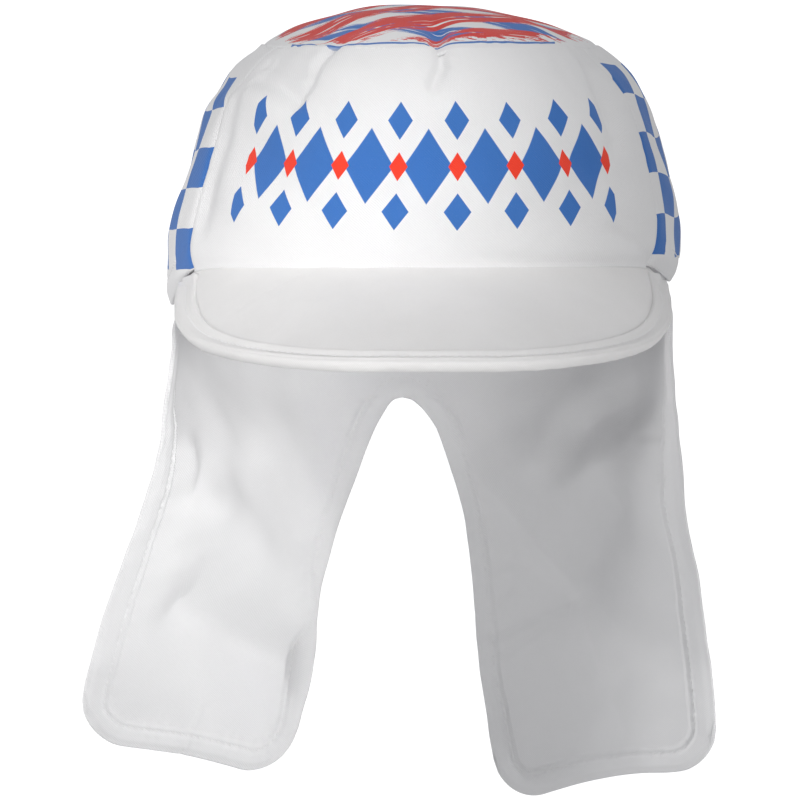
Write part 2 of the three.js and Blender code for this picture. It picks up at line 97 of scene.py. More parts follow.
# Columns of squares between a lobe's two hems
LOBE_COLUMNS = 62


def table(columns, *rows):
    """A short table as one array for each named column."""
    return {name: np.array([row[i] for row in rows], float) for i, name in enumerate(columns.split())}


# Crown wall: half sizes of its outline on the way up
WALL = table(
    "rise width front back lean",
    (0.0, 89.4, 96.2, 94.6, -0.6),
    (0.05, 91.3, 97.4, 96.8, 0.0),
    (0.13, 91.8, 98.2, 97.8, 0.4),
    (0.28, 90.4, 98.6, 97.6, 0.8),
    (0.51, 85.4, 97.2, 94.6, 1.5),
    (0.7, 80.4, 93.8, 90.0, 1.6),
    (0.81, 76.0, 90.4, 85.6, 1.3),
    (0.9, 70.2, 86.0, 80.4, 1.5),
    (1.0, 59.9, 79.6, 72.0, 2.7),
)
# Height of the crown's lower edge on the left and right, and of its top seam
EDGE = table(
    "angle left right seam",
    (0, 19.4, 19.4, 91.0),
    (30, 18.0, 18.2, 90.6),
    (57, 14.4, 15.2, 89.4),
    (66, 10.4, 12.2, 88.8),
    (76, 1.5, 7.4, 88.2),
    (88, -4.6, 3.6, 87.6),
    (120, -5.0, 0.8, 86.0),
    (180, -3.0, -3.0, 84.0),
)
# Peak: points of its free edge from the middle to one end
PEAK = table(
    "seam x y z binding",
    (0, 0, -160.5, -5.8, 7.2),
    (14, 32, -155.5, -6.2, 7.4),
    (28, 58, -134.5, -6.6, 7.8),
    (40, 75, -105, -6.6, 8.8),
    (50, 83.4, -76, -3.8, 10),
    (59, 85.4, -54, 0.6, 12),
    (66, 85.2, -43, 5.6, 14),
)
# Neck flap: its front edges, its back and how its front edges turn, going down
FLAP = table(
    "level leftX rightX edgeY backY leftTurn rightTurn",
    (-206, -124.4, 110, 35, 84, 16, 24),
    (-180, -125.4, 109.8, 32, 87, 14, 22),
    (-155, -125, 108.4, 27, 90, 12, 20),
    (-130, -119, 104.8, 20, 93, 14, 24),
    (-105, -110.4, 100.6, 12, 96, 22, 30),
    (-75, -100.2, 94.6, 2, 98.5, 38, 40),
    (-56, -95.2, 92.4, -5, 98.5, 58, 56),
    (-38, -91.8, 90.4, -11, 97, 82, 76),
    (-18, -88.9, 88.9, -16, 94.5, 94, 92),
)
# Notch between the lobes, measured down from its top
NOTCH = table(
    "below half middle",
    (0, 0, 0),
    (0.5, 2.7, 0.1),
    (2, 5.2, 0.3),
    (6, 8.6, 1),
    (13, 12.8, 1.4),
    (28, 18.4, 0.9),
    (50, 25.6, -0.4),
    (74, 30.4, -2.2),
    (110, 33.8, -2.6),
    (155, 45.6, -5.4),
)
LOBES = {
    "left": {"outer": -170.0, "inner": -197.0, "outer_radius": 14.0, "inner_radius": 20.0, "wave": 1.0},
    "right": {"outer": -181.0, "inner": -206.8, "outer_radius": 14.0, "inner_radius": 17.0, "wave": 2.5},
}
SIGN = {"left": -1.0, "right": 1.0}

# Creases of the crown wall: angle and rise at both ends, width and depth
WALL_CREASES = (
    (-92, 0.84, -52, 0.88, 6, 2),
    (-52, 0.88, -36, 0.8, 6, 2.6),
    (-33, 1, -33, 0.82, 5, 1.4),
    (3, 1, 3, 0.85, 6, 1.8),
    (70, 0.98, 54.5, 0.88, 6, 1.4),
    (54.5, 0.88, 50, 0.57, 6, 2.2),
    (46, 0.16, 60, 0.05, 6, 1.6),
    (-58, 0.55, -58, 0.28, 7, 1.4),
)
# Dents of the top panel in plan
TOP_DENTS = (
    (4, -56, 3, -84, 8, 2.4),
    (-40, -40, -24, -78, 9, 2.4),
    (30, 10, -20, 30, 22, 1.8),
)
# Soft folds of the lobes: share across and level at both ends, width and depth
FLAP_FOLDS = {
    "left": (
        (0.33, -121, 0.63, -139, 11, 5.5),
        (0.63, -139, 0.98, -156, 11, 5.5),
        (0.24, -82, 0.52, -102, 12, -4),
        (0.52, -102, 0.92, -130, 12, -4),
        (0.14, -60, 0.19, -90, 7, -1.8),
        (0.2, -73, 0.84, -75, 9, 1.4),
    ),
    "right": (
        (0.34, -86, 0.56, -122, 13, 5.6),
        (0.89, -82, 0.56, -119, 9, -2.6),
        (0.56, -119, 0.42, -150, 9, -2.2),
        (0.5, -60, 0.2, -38, 12, 5.6),
        (0.64, -70, 0.5, -44, 9, -2.4),
        (0.93, -72, 0.93, -160, 6, -1.2),
    ),
}

# Sharp creases of the finished cloth alone: by angle and rise, in plan, and by share and level
SHARP_WALL = (
    (-56, 0.915, -33, 0.878, 2.6, 1.4),
    (-54, 0.85, -43, 0.815, 2.8, 1.6),
    (-43, 0.815, -35, 0.755, 2.8, 1.8),
    (-33.5, 1.0, -32.8, 0.84, 2.2, 1.2),
    (-32.8, 0.84, -35, 0.76, 2.4, 1.2),
    (2.6, 1.02, 3.9, 0.92, 2.5, 2.4),
    (3.9, 0.92, 1.4, 0.82, 2.3, 2.2),
    (3.8, 0.965, 8, 0.945, 2.0, 1.2),
    (54.5, 0.9, 51.5, 0.66, 5.5, 1.6),
    (44, 0.2, 61, 0.07, 2.4, -0.6),
    (33, 0.52, 37, 0.44, 7, 1.2),
    (15.8, 0.17, 16, 0.06, 5, 0.8),
    (-57, 0.72, -58, 0.2, 5.0, 1.2),
)
SHARP_TOP = (
    (5.0, -60, 3.2, -86, 2.6, 1.4),
    (-33, -52, -39, -70, 3.0, 0.8),
)
SHARP_FLAP = {
    "left": (
        (0.14, -60, 0.18, -88, 2.2, -0.7),
        (0.18, -88, 0.33, -116, 2.2, -0.7),
        (0.48, -164, 0.43, -184, 1.3, 0.9),
        (0.47, -163, 0.5, -163, 1.2, 0.4),
        (0.84, -96, 0.91, -96, 1.8, 0.7),
        (0.84, -105, 0.92, -105, 1.6, 0.6),
        (0.86, -116, 0.91, -116, 1.6, 0.9),
        (0.87, -124, 0.92, -124, 1.6, 1.0),
        (0.89, -132, 0.93, -132, 1.6, 0.8),
    ),
    "right": (
        (0.89, -82, 0.71, -98, 1.6, -0.45),
        (0.71, -98, 0.56, -119, 1.5, -0.55),
        (0.56, -119, 0.45, -140, 1.5, -0.5),
        (0.45, -140, 0.37, -172, 1.6, -0.35),
        (0.92, -141, 0.61, -126, 3.6, 1.6),
        (0.89, -148, 0.7, -135, 2.6, 0.9),
        (0.9, -116, 0.82, -112, 2.0, 0.8),
        (0.9, -128, 0.84, -122, 2.2, 0.9),
        (0.06, -52, 0.16, -56, 2.0, 0.6),
        (0.06, -70, 0.14, -72, 2.0, 0.5),
    ),
}


def along(rows, key, column, place):
    """Reads a column at any place on a smooth curve through the rows."""
    xs = rows[key]
    ys = rows[column]
    last = len(xs) - 1
    place = np.clip(place, xs[0], xs[-1])
    i = np.clip(np.searchsorted(xs, place, side="right") - 1, 0, last - 1)
    before = np.maximum(i - 1, 0)
    after = np.minimum(i + 2, last)
    span = xs[i + 1] - xs[i]
    t = (place - xs[i]) / span
    slope_from = (ys[i + 1] - ys[before]) / (xs[i + 1] - xs[before])
    slope_to = (ys[after] - ys[i]) / (xs[after] - xs[i])
    t2 = t * t
    t3 = t2 * t
    start = (2 * t3 - 3 * t2 + 1) * ys[i] + (t3 - 2 * t2 + t) * span * slope_from
    end = (3 * t2 - 2 * t3) * ys[i + 1] + (t3 - t2) * span * slope_to
    return start + end


def mix(a, b, t):
    return a + (b - a) * t


def smooth(x, low, high):
    t = np.clip((x - low) / (high - low), 0, 1)
    return t * t * (3 - 2 * t)


def bell(distance, width):
    """A rounded ridge, 1 high in its middle."""
    return np.exp(-((distance / width) ** 2))


def groove(distance, width, depth):
    """Depth of a rounded groove."""
    return bell(distance, width) * depth


def puckers(run, wave, drift, sway):
    """Uneven waves along a seam."""
    return np.sin(run * wave + np.sin(run * drift) * sway)


def lengths_along(points):
    """Length from the start of a line to each of its points."""
    return np.concatenate([[0], np.cumsum(np.linalg.norm(np.diff(points, axis=0), axis=1))])


def line_distance(u, v, u0, v0, u1, v1):
    """Distance of places to a straight line between two points."""
    du = u1 - u0
    dv = v1 - v0
    t = np.clip(((u - u0) * du + (v - v0) * dv) / (du * du + dv * dv), 0, 1)
    return np.hypot(u - u0 - t * du, v - v0 - t * dv)


def pressed(creases, u, v):
    """Depth of a set of creases: the deepest dent and the highest ridge at each place count."""
    dent = 0 * u
    ridge = 0 * u
    for u0, v0, u1, v1, width, deep in creases:
        depth = deep * bell(line_distance(u, v, u0, v0, u1, v1), width)
        dent = np.maximum(dent, depth)
        ridge = np.minimum(ridge, depth)
    return dent + ridge


def fold_span(run, half, level):
    """Length that the folds' shares count along: it follows the notch without the notch's sudden start."""
    below = NOTCH_HEIGHT - level
    gentle = np.where(below > 13, half, 12.8 * smooth(below, -20, 13))
    return run + half - gentle


def on_flap(creases, run):
    """Creases of one lobe with their shares across turned into lengths."""
    return [(u0 * run, v0, u1 * run, v1, width, deep) for u0, v0, u1, v1, width, deep in creases]


def undulation(u, v, seed, size, height):
    """Gentle unevenness of cloth: waves about size long, in fixed random directions."""
    chance = np.random.RandomState(seed)
    total = 0
    for _ in range(7):
        turn = chance.uniform(0, math.tau)
        wave = math.tau / (size * chance.uniform(0.7, 1.6))
        total = total + np.sin((u * math.cos(turn) + v * math.sin(turn)) * wave + chance.uniform(0, math.tau))
    return total * height / 2.6


# Surfaces


def folded(angle):
    return 180 - np.abs(180 - np.abs(angle))


def lower_edge(angle):
    """Height of the crown's lower edge at an angle from the front, plus to the right."""
    on_right = (angle > 0) == (np.abs(angle) <= 180)
    place = folded(angle)
    return np.where(on_right, along(EDGE, "angle", "right", place), along(EDGE, "angle", "left", place))


def seam_height(angle):
    return along(EDGE, "angle", "seam", folded(angle))


def in_wall(creases):
    """Crease ends turned from angles and rises into lengths."""
    scale = math.radians(1) * MM_PER_RADIAN
    return [
        (a * scale, b * MM_PER_RISE, c * scale, d * MM_PER_RISE, width, deep)
        for a, b, c, d, width, deep in creases
    ]


WALL_PRESSED = in_wall(WALL_CREASES)


def wall_point(angle, rise):
    """Points of the crown's outer face."""
    turn = np.radians(angle)
    front = along(WALL, "rise", "front", rise)
    back = along(WALL, "rise", "back", rise)
    depth = np.where(np.cos(turn) > 0, front, back)
    sunk = pressed(WALL_PRESSED, turn * MM_PER_RADIAN, rise * MM_PER_RISE)
    x = along(WALL, "rise", "lean", rise) + (along(WALL, "rise", "width", rise) - sunk) * np.sin(turn)
    y = -(depth - sunk) * np.cos(turn)
    z = mix(lower_edge(angle), seam_height(angle), rise) - CREASE_DROP * sunk * rise
    return np.stack([x, y, z], -1)


def top_point(angle, reach):
    """Points of the top panel's outer face."""
    seam = wall_point(angle, np.ones_like(angle))
    x = seam[..., 0] * reach
    y = seam[..., 1] * reach
    dent = pressed(TOP_DENTS, x, y)
    z = mix(seam[..., 2], APEX, 1 - reach**DOME_POWER) - dent * (1 - reach**6)
    return np.stack([x, y, z], -1)


def peak_point(across, out):
    """Points of the peak's top face."""
    angle = across * PEAK_SEAM
    side = np.where(across < 0, -1.0, 1.0)
    bottom = wall_point(angle, np.zeros_like(angle))
    size = np.linalg.norm(bottom, axis=-1)
    inset = (size - CLOTH) / size
    place = np.abs(angle)
    arch = PEAK_ARCH * np.sin(math.pi * out) * np.cos(across * math.pi / 2)
    x = mix(bottom[..., 0] * inset, side * along(PEAK, "seam", "x", place), out)
    y = mix(bottom[..., 1] * inset, along(PEAK, "seam", "y", place), out)
    z = mix(lower_edge(angle) - GAP - 0.4, along(PEAK, "seam", "z", place), out) + arch
    return np.stack([x, y, z], -1)


def unit(v):
    return v / np.maximum(np.linalg.norm(v, axis=-1, keepdims=True), 1e-12)


def peak_up(across, out):
    """Directions square to the peak's top face."""
    step = 0.01
    sideways = peak_point(np.minimum(across + step, 1), out) - peak_point(np.maximum(across - step, -1), out)
    outwards = peak_point(across, np.minimum(out + step, 1)) - peak_point(across, np.maximum(out - step, 0))
    up = unit(np.cross(outwards, sideways))
    return np.where(up[..., 2:] < 0, -up, up)


def flap_curve(side, level):
    """The flap's line in plan at each level: four control points, ending at the centre back or the notch."""
    sign = SIGN[side]
    below = np.maximum(NOTCH_HEIGHT - level, 0)
    half = along(NOTCH, "below", "half", below)
    middle = NOTCH_CENTRE + along(NOTCH, "below", "middle", below)
    edge = np.stack([along(FLAP, "level", side + "X", level), along(FLAP, "level", "edgeY", level)], -1)
    back = np.stack([middle, along(FLAP, "level", "backY", level)], -1)
    turn = np.radians(along(FLAP, "level", side + "Turn", level))
    reach = np.linalg.norm(edge - back, axis=-1) * 0.4
    rounding = mix(1.15, 0.9, smooth(-level, 20, 110))
    first = edge + np.stack([-sign * np.cos(turn) * reach, np.sin(turn) * reach], -1)
    second = back + np.stack([sign * reach * rounding, np.zeros_like(reach)], -1)
    whole = np.stack([edge, first, second, back], -2)
    low = np.zeros_like(level)
    high = np.ones_like(level)
    for _ in range(24):
        t = (low + high) / 2
        outside = np.abs(bezier(whole, t)[..., 0] - middle) > half
        low = np.where(outside, t, low)
        high = np.where(outside, high, t)
    cut = np.where(half > 0, low, 1.0)[..., None]
    p0, p1, p2, p3 = (whole[..., k, :] for k in range(4))
    a, b, c = mix(p0, p1, cut), mix(p1, p2, cut), mix(p2, p3, cut)
    d, e = mix(a, b, cut), mix(b, c, cut)
    return np.stack([p0, a, d, mix(d, e, cut)], -2), half


def bezier(points, t):
    t = t[..., None]
    p0, p1, p2, p3 = (points[..., k, :] for k in range(4))
    return (1 - t) ** 3 * p0 + 3 * (1 - t) ** 2 * t * p1 + 3 * (1 - t) * t**2 * p2 + t**3 * p3


def flap_lengths(points):
    """Lengths along each curve at evenly spaced parameters."""
    steps = np.linspace(0, 1, 41)
    dots = np.stack([bezier(points, np.full(points.shape[:-2], t)) for t in steps], -2)
    pieces = np.linalg.norm(np.diff(dots, axis=-2), axis=-1)
    return np.concatenate([np.zeros(pieces.shape[:-1] + (1,)), np.cumsum(pieces, -1)], -1)


def flap_run(side, level):
    points, _ = flap_curve(side, level)
    return flap_lengths(points)[..., -1]


def flap_point(side, share, level):
    """Points of the flap's outer face: share from the front edge (0) to the inner edge (1)."""
    sign = SIGN[side]
    points, half = flap_curve(side, level)
    lengths = flap_lengths(points)
    run = lengths[..., -1]
    goal = np.clip(share, 0, 1) * run
    count = (lengths[..., 1:-1] < goal[..., None]).sum(-1)
    start = np.take_along_axis(lengths, count[..., None], -1)[..., 0]
    end = np.take_along_axis(lengths, count[..., None] + 1, -1)[..., 0]
    t = (count + (goal - start) / np.maximum(end - start, 1e-9)) / 40
    step = 0.01
    tangent = unit(bezier(points, np.minimum(t + step, 1)) - bezier(points, np.maximum(t - step, 0)))
    place = bezier(points, t)
    pushed = FOLD_DEPTH * pressed(on_flap(FLAP_FOLDS[side], fold_span(run, half, level)), goal, level)
    free = smooth(-level, 24, 54) * smooth((1 - share) * run, 0, 8)
    x = place[..., 0] + sign * tangent[..., 1] * pushed * free
    y = place[..., 1] - sign * tangent[..., 0] * pushed * free
    angle = sign * mix(FLAP_START, 180, share)
    lower = lower_edge(angle)
    held = smooth(level, lower - 14, lower - 1)
    rise = np.clip((level - lower) / (seam_height(angle) - lower), 0, 1)
    wall = wall_point(angle, rise)
    size = np.hypot(wall[..., 0], wall[..., 1])
    inset = (size - CLOTH - GAP - FOLD) / size
    x = mix(x, wall[..., 0] * inset, held)
    y = mix(y, wall[..., 1] * inset, held)
    return np.stack([x, y, level], -1)


def lobe_bottom(side, distance, run):
    """Level of a lobe's lower edge, with its rounded corners."""
    lobe = LOBES[side]

    def corner(away, radius):
        inside = np.clip(radius - away, 0, radius)
        return radius - np.sqrt(np.maximum(radius**2 - inside**2, 0))

    straight = mix(lobe["outer"], lobe["inner"], distance / run)
    straight = straight + lobe["wave"] * np.sin(math.pi * distance / run) ** 2
    return straight + corner(distance, lobe["outer_radius"]) + corner(run - distance, lobe["inner_radius"])


# Mesh making


class Cloth:
    """A sheet of cloth before it has a thickness: points in millimetres, squares and places for patterns."""

    def __init__(self):
        self.points = []
        self.flat = []
        self.place = []
        self.faces = []
        self.count = 0

    def add_grid(self, points, flat, place, turned=False):
        """Adds a grid of points, with its flat lengths and its pattern places."""
        rows, columns = points.shape[:2]
        index = self.count + np.arange(rows * columns).reshape(rows, columns)
        square = np.stack([index[:-1, :-1], index[:-1, 1:], index[1:, 1:], index[1:, :-1]], -1).reshape(-1, 4)
        self.faces.append(square[:, ::-1] if turned else square)
        self.points.append(points.reshape(-1, 3))
        self.flat.append(flat.reshape(-1, 2))
        self.place.append(place.reshape(-1, 2))
        self.count += rows * columns

    def weld(self):
        """Joins the grids where their points meet and drops squares with no area."""
        points = np.concatenate(self.points)
        key = np.round(points / 0.004).astype(np.int64)
        _, first, back = np.unique(key, axis=0, return_index=True, return_inverse=True)
        back = back.reshape(-1)
        faces = back[np.concatenate(self.faces)]
        whole = [len(set(face)) >= 3 for face in faces.tolist()]
        self.points = points[first]
        self.flat = np.concatenate(self.flat)[first]
        self.place = np.concatenate(self.place)[first]
        self.faces = faces[np.array(whole)]
        return self

    def normals(self):
        """Directions square to the sheet at its points."""
        p = self.points[self.faces]
        square = np.cross(p[:, 2] - p[:, 0], p[:, 3] - p[:, 1])
        total = np.zeros_like(self.points)
        for k in range(4):
            np.add.at(total, self.faces[:, k], square)
        return unit(total)

    def rim(self):
        """Directed edges with a square on one side only."""
        pairs = np.concatenate([self.faces[:, [k, (k + 1) % 4]] for k in range(4)])
        pairs = pairs[pairs[:, 0] != pairs[:, 1]]
        size = len(self.points)
        forward = pairs[:, 0] * size + pairs[:, 1]
        backward = pairs[:, 1] * size + pairs[:, 0]
        return pairs[~np.isin(forward, backward)]

    def loops(self):
        """Closed loops of rim points, in order."""
        following = {int(a): int(b) for a, b in self.rim()}
        found = []
        while following:
            start = next(iter(following))
            loop = [start]
            at = following.pop(start)
            while at != start and at in following:
                loop.append(at)
                at = following.pop(at)
            found.append(np.array(loop))
        return found

    def turn_towards(self, axis, part=slice(None)):
        """Turns the sheet over where its outer face, or a part of it, points back along an axis."""
        if self.normals()[part][:, axis].mean() < 0:
            self.faces = self.faces[:, ::-1]

    def outward(self):
        """At each rim point, the direction in the sheet that points away from it."""
        normal = self.normals()
        total = np.zeros_like(self.points)
        for a, b in self.rim():
            away = np.cross(self.points[b] - self.points[a], normal[a] + normal[b])
            total[a] += away
            total[b] += away
        return unit(total)


def sheet_of(points, flat, place, turned=False):
    """A sheet made of one grid."""
    cloth = Cloth()
    cloth.add_grid(points, flat, place, turned)
    return cloth.weld()


def thicken(name, cloth, outer, inner, material, rounds=4, bulge=0.8):
    """A closed piece from a sheet: outer and inner are how far its faces lie from it, along its normals."""
    normal = cloth.normals()
    out = cloth.outward()
    rim = cloth.rim()
    size = len(cloth.points)
    top = cloth.points + normal * np.broadcast_to(outer, size)[:, None]
    under = cloth.points + normal * np.broadcast_to(inner, size)[:, None]
    edge = np.unique(rim)
    number = -np.ones(size, int)
    number[edge] = np.arange(len(edge))
    middle = (top[edge] + under[edge]) / 2
    half = (top[edge] - under[edge]) / 2
    reach = np.linalg.norm(half, axis=1)[:, None] * bulge
    verts = [top, under]
    inside = [np.zeros(size), np.ones(size)]
    for k in range(1, rounds):
        turn = math.pi * k / rounds
        verts.append(middle + half * math.cos(turn) + out[edge] * reach * math.sin(turn))
        inside.append(np.full(len(edge), k / rounds))
    verts = np.concatenate(verts) * MM
    faces = [cloth.faces, cloth.faces[:, ::-1] + size]
    rings = [edge] + [2 * size + (k - 1) * len(edge) + np.arange(len(edge)) for k in range(1, rounds)]
    rings.append(edge + size)
    a = number[rim[:, 0]]
    b = number[rim[:, 1]]
    for upper, lower in zip(rings, rings[1:]):
        faces.append(np.stack([upper[b], upper[a], lower[a], lower[b]], -1))
    source = np.concatenate([np.arange(size), np.arange(size)] + [edge] * (rounds - 1))
    quads = np.concatenate(faces)
    obj = make_object(name, verts, quads, material)
    add_places(obj, "cloth_mm", cloth.flat[source])
    add_places(obj, "print_place", cloth.place[source])
    add_mark(obj.data, "inside", np.concatenate(inside))
    return obj


def placed(name, data):
    """An object in the scene for a mesh, a light or a camera."""
    obj = bpy.data.objects.new(name, data)
    bpy.context.scene.collection.objects.link(obj)
    return obj


def add_mark(mesh, name, values, kind="FLOAT", field="value"):
    """An attribute that holds numbers for each point."""
    mark = mesh.attributes.new(name, kind, "POINT")
    mark.data.foreach_set(field, np.array(values, np.float32).ravel())


def make_object(name, verts, faces, material):
    mesh = bpy.data.meshes.new(name)
    squares = [tuple(dict.fromkeys(face)) for face in faces.tolist()]
    mesh.from_pydata(verts.tolist(), [], squares)
    mesh.polygons.foreach_set("use_smooth", np.ones(len(squares), bool))
    mesh.materials.append(material)
    mesh.update()
    return placed(name, mesh)


def add_places(obj, name, places):
    """A UV map that holds a pair of numbers for each point."""
    corner = np.zeros(len(obj.data.loops), int)
    obj.data.loops.foreach_get("vertex_index", corner)
    layer = obj.data.uv_layers.new(name=name)
    layer.data.foreach_set("uv", places[corner].astype(np.float32).ravel())


def spread(points, axis):
    """Lengths along one axis of a grid of points."""
    steps = np.linalg.norm(np.diff(points, axis=axis), axis=-1)
    pad = [(0, 0), (0, 0)]
    pad[axis] = (1, 0)
    return np.pad(np.cumsum(steps, axis), pad)


def finish_piece(obj, slot, *nodes):
    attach(obj, "root")
    if nodes:
        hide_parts(*nodes)
    return obj


# Node groups and materials


class Tree:
    """Short ways to add and join nodes."""

    def __init__(self, tree):
        self.tree = tree

    def add(self, kind, values=None, **settings):
        node = self.tree.nodes.new(kind)
        for key, value in settings.items():
            setattr(node, key, value)
        for key, value in (values or {}).items():
            self.join(value, node.inputs[key])
        return node

    def join(self, value, socket):
        if isinstance(value, bpy.types.NodeSocket):
            self.tree.links.new(value, socket)
        else:
            socket.default_value = value

    def calc(self, operation, a, b=0.0, c=0.0):
        node = self.add("ShaderNodeMath", operation=operation)
        for value, socket in zip((a, b, c), node.inputs):
            self.join(value, socket)
        return node.outputs[0]

    def times(self, a, b):
        return self.calc("MULTIPLY", a, b)

    def minus(self, a, b):
        return self.calc("SUBTRACT", a, b)

    def parts(self, vector):
        return self.add("ShaderNodeSeparateXYZ", {0: vector}).outputs

    def blend(self, share, a, b):
        node = self.add("ShaderNodeMix", data_type="RGBA")
        self.join(share, node.inputs[0])
        self.join(a, node.inputs[6])
        self.join(b, node.inputs[7])
        return node.outputs[2]

    def ramp(self, value, low, high):
        """0 below low, 1 above high, soft between."""
        node = self.add("ShaderNodeMapRange", {0: value, 1: low, 2: high}, interpolation_type="SMOOTHSTEP")
        return node.outputs[0]

    def noise(self, vector, scale, detail=2.0, roughness=0.5):
        values = {"Vector": vector, "Scale": scale, "Detail": detail, "Roughness": roughness}
        return self.add("ShaderNodeTexNoise", values).outputs[0]

    def stretch(self, vector, scale):
        return self.add("ShaderNodeVectorMath", {0: vector, 1: scale}, operation="MULTIPLY").outputs[0]


def new_group(name, inputs, outputs):
    """A shader node group with named sockets: pairs of name and kind, or name, kind and value."""
    tree = bpy.data.node_groups.new(name, "ShaderNodeTree")
    for socket in inputs:
        made = tree.interface.new_socket(socket[0], in_out="INPUT", socket_type="NodeSocket" + socket[1])
        if len(socket) > 2:
            made.default_value = socket[2]
    for socket in outputs:
        tree.interface.new_socket(socket[0], in_out="OUTPUT", socket_type="NodeSocket" + socket[1])
    maker = Tree(tree)
    return maker, maker.add("NodeGroupInput").outputs, maker.add("NodeGroupOutput").inputs


def twill_group():
    """Twill: fine diagonal ribs crossed by threads, on lengths in millimetres; its Shade is painted shade,
    darker in the ribs' hollows and lighter where slubs raise them.
    """
    t, given, made = new_group(
        "twill weave",
        [("Place", "Vector"), ("Rib", "Float", 1.0)],
        [("Height", "Float"), ("Shade", "Float")],
    )
    parts = t.parts(given["Place"])
    drift = t.noise(given["Place"], 0.35)
    slanted = t.calc("ADD", parts[0], t.times(parts[1], 1.15))
    ribs = t.calc("DIVIDE", slanted, given["Rib"])
    phase = t.calc("MULTIPLY_ADD", ribs, math.tau, t.times(drift, 6.0))
    rib = t.calc("MULTIPLY_ADD", t.calc("SINE", phase), 0.5, 0.5)
    thread = t.calc("SINE", t.calc("DIVIDE", t.times(parts[1], math.tau * 1.7), given["Rib"]))
    slub = t.noise(t.stretch(given["Place"], (0.5, 3.0, 1.0)), 1.4)
    height = t.calc("MULTIPLY_ADD", thread, 0.12, t.times(rib, t.calc("ADD", slub, 0.3)))
    t.join(height, made["Height"])
    # Painted shade: the weave's hollows darker, the ribs raised by slubs lighter
    t.join(t.calc("MULTIPLY_ADD", rib, 0.06, t.calc("MULTIPLY_ADD", slub, 0.05, 0.91)), made["Shade"])
    return t.tree


def lint_group():
    """Faint mottling and fibre fuzz of washed cotton."""
    t, given, made = new_group(
        "washed cotton",
        [("Position", "Vector"), ("Amount", "Float", 1.0)],
        [("Shade", "Float"), ("Height", "Float"), ("Roughness", "Float")],
    )
    cloud = t.noise(given["Position"], 28.0, 4.0, 0.6)
    fuzz = t.noise(given["Position"], 1400.0, 3.0, 0.7)
    shade = t.times(t.minus(cloud, 0.5), t.times(given["Amount"], 0.07))
    t.join(t.calc("ADD", shade, 1.0), made["Shade"])
    t.join(t.times(fuzz, given["Amount"]), made["Height"])
    t.join(t.calc("MULTIPLY_ADD", cloud, 0.1, 0.84), made["Roughness"])
    return t.tree


def ink_group():
    """Ink printed on cloth: a little cloth shows through, and none of it is inside."""
    t, given, made = new_group(
        "screen printed ink",
        [("Cloth", "Color"), ("Ink", "Color"), ("Mask", "Float"), ("Place", "Vector"), ("Inside", "Float")],
        [("Color", "Color")],
    )
    grain = t.noise(given["Place"], 2.2, 3.0, 0.7)
    cover = t.calc("MULTIPLY_ADD", t.ramp(grain, 0.2, 0.42), 0.1, 0.9)
    outside = t.minus(1.0, t.times(given["Inside"], 0.9))
    share = t.times(t.times(given["Mask"], cover), outside)
    t.join(t.blend(share, given["Cloth"], given["Ink"]), made["Color"])
    return t.tree


TWILL = twill_group()
LINT = lint_group()
INK = ink_group()
BLUE = (0.045, 0.165, 0.49, 1)
RED = (0.86, 0.05, 0.022, 1)
DEEP_RED = (0.66, 0.035, 0.025, 1)


def check_mask(t, place):
    """Five rows of squares; a square of the print is one unit."""
    parts = t.parts(place)
    column = t.calc("FLOOR", parts[0])
    row = t.calc("FLOOR", parts[1])
    odd = t.calc("PINGPONG", t.calc("ADD", column, row), 1.0)
    inside = t.times(t.calc("GREATER_THAN", parts[0], 0.0), t.calc("GREATER_THAN", parts[1], 0.0))
    inside = t.times(inside, t.calc("LESS_THAN", parts[1], 5.0))
    return t.times(t.minus(1.0, odd), inside)


def lozenge_mask(t, across, up, pitch, shift, half_width, half_height, reach):
    """A row of lozenges on lengths in millimetres."""
    moved = t.calc("ADD", across, shift)
    nearest = t.times(t.calc("ROUND", t.calc("DIVIDE", moved, pitch)), pitch)
    sideways = t.calc("DIVIDE", t.calc("ABSOLUTE", t.minus(moved, nearest)), half_width)
    upwards = t.calc("DIVIDE", t.calc("ABSOLUTE", up), half_height)
    far = t.calc("ADD", sideways, upwards)
    shown = t.calc("LESS_THAN", t.calc("ABSOLUTE", across), reach)
    return t.times(t.minus(1.0, t.ramp(far, 0.975, 1.025)), shown)


def brush_mask(t, place, turn, pitch, share, seed):
    """Broad dry-brush strokes in one direction, with ragged sides, gaps and ends."""
    way = {"Vector": place, "Angle": math.radians(turn)}
    turned = t.add("ShaderNodeVectorRotate", way, rotation_type="Z_AXIS").outputs[0]
    moved = t.add("ShaderNodeVectorMath", {0: turned, 1: (seed, seed * 2.3, 0.0)}, operation="ADD").outputs[0]
    rows = t.calc("DIVIDE", t.parts(moved)[1], pitch)
    stroke = t.calc("ABSOLUTE", t.minus(rows, t.calc("ROUND", rows)))
    bristle = t.noise(t.stretch(moved, (0.05, 1.5, 1.0)), 1.0, 3.0, 0.65)
    wander = t.noise(t.stretch(moved, (0.03, 0.12, 1.0)), 1.0)
    gap = t.noise(t.stretch(moved, (0.04, 0.5, 1.0)), 1.0, 2.0)
    edge = t.calc("MULTIPLY_ADD", t.minus(wander, 0.5), 0.3, stroke)
    edge = t.calc("MULTIPLY_ADD", t.minus(bristle, 0.5), 0.4, edge)
    painted = t.minus(1.0, t.ramp(edge, share, share + 0.02))
    return t.times(painted, t.ramp(gap, 0.38, 0.41))


def empty_material(name):
    """A material without nodes, and its tree."""
    material = bpy.data.materials.new(name)
    material.use_nodes = True
    material.node_tree.nodes.clear()
    return material, Tree(material.node_tree)


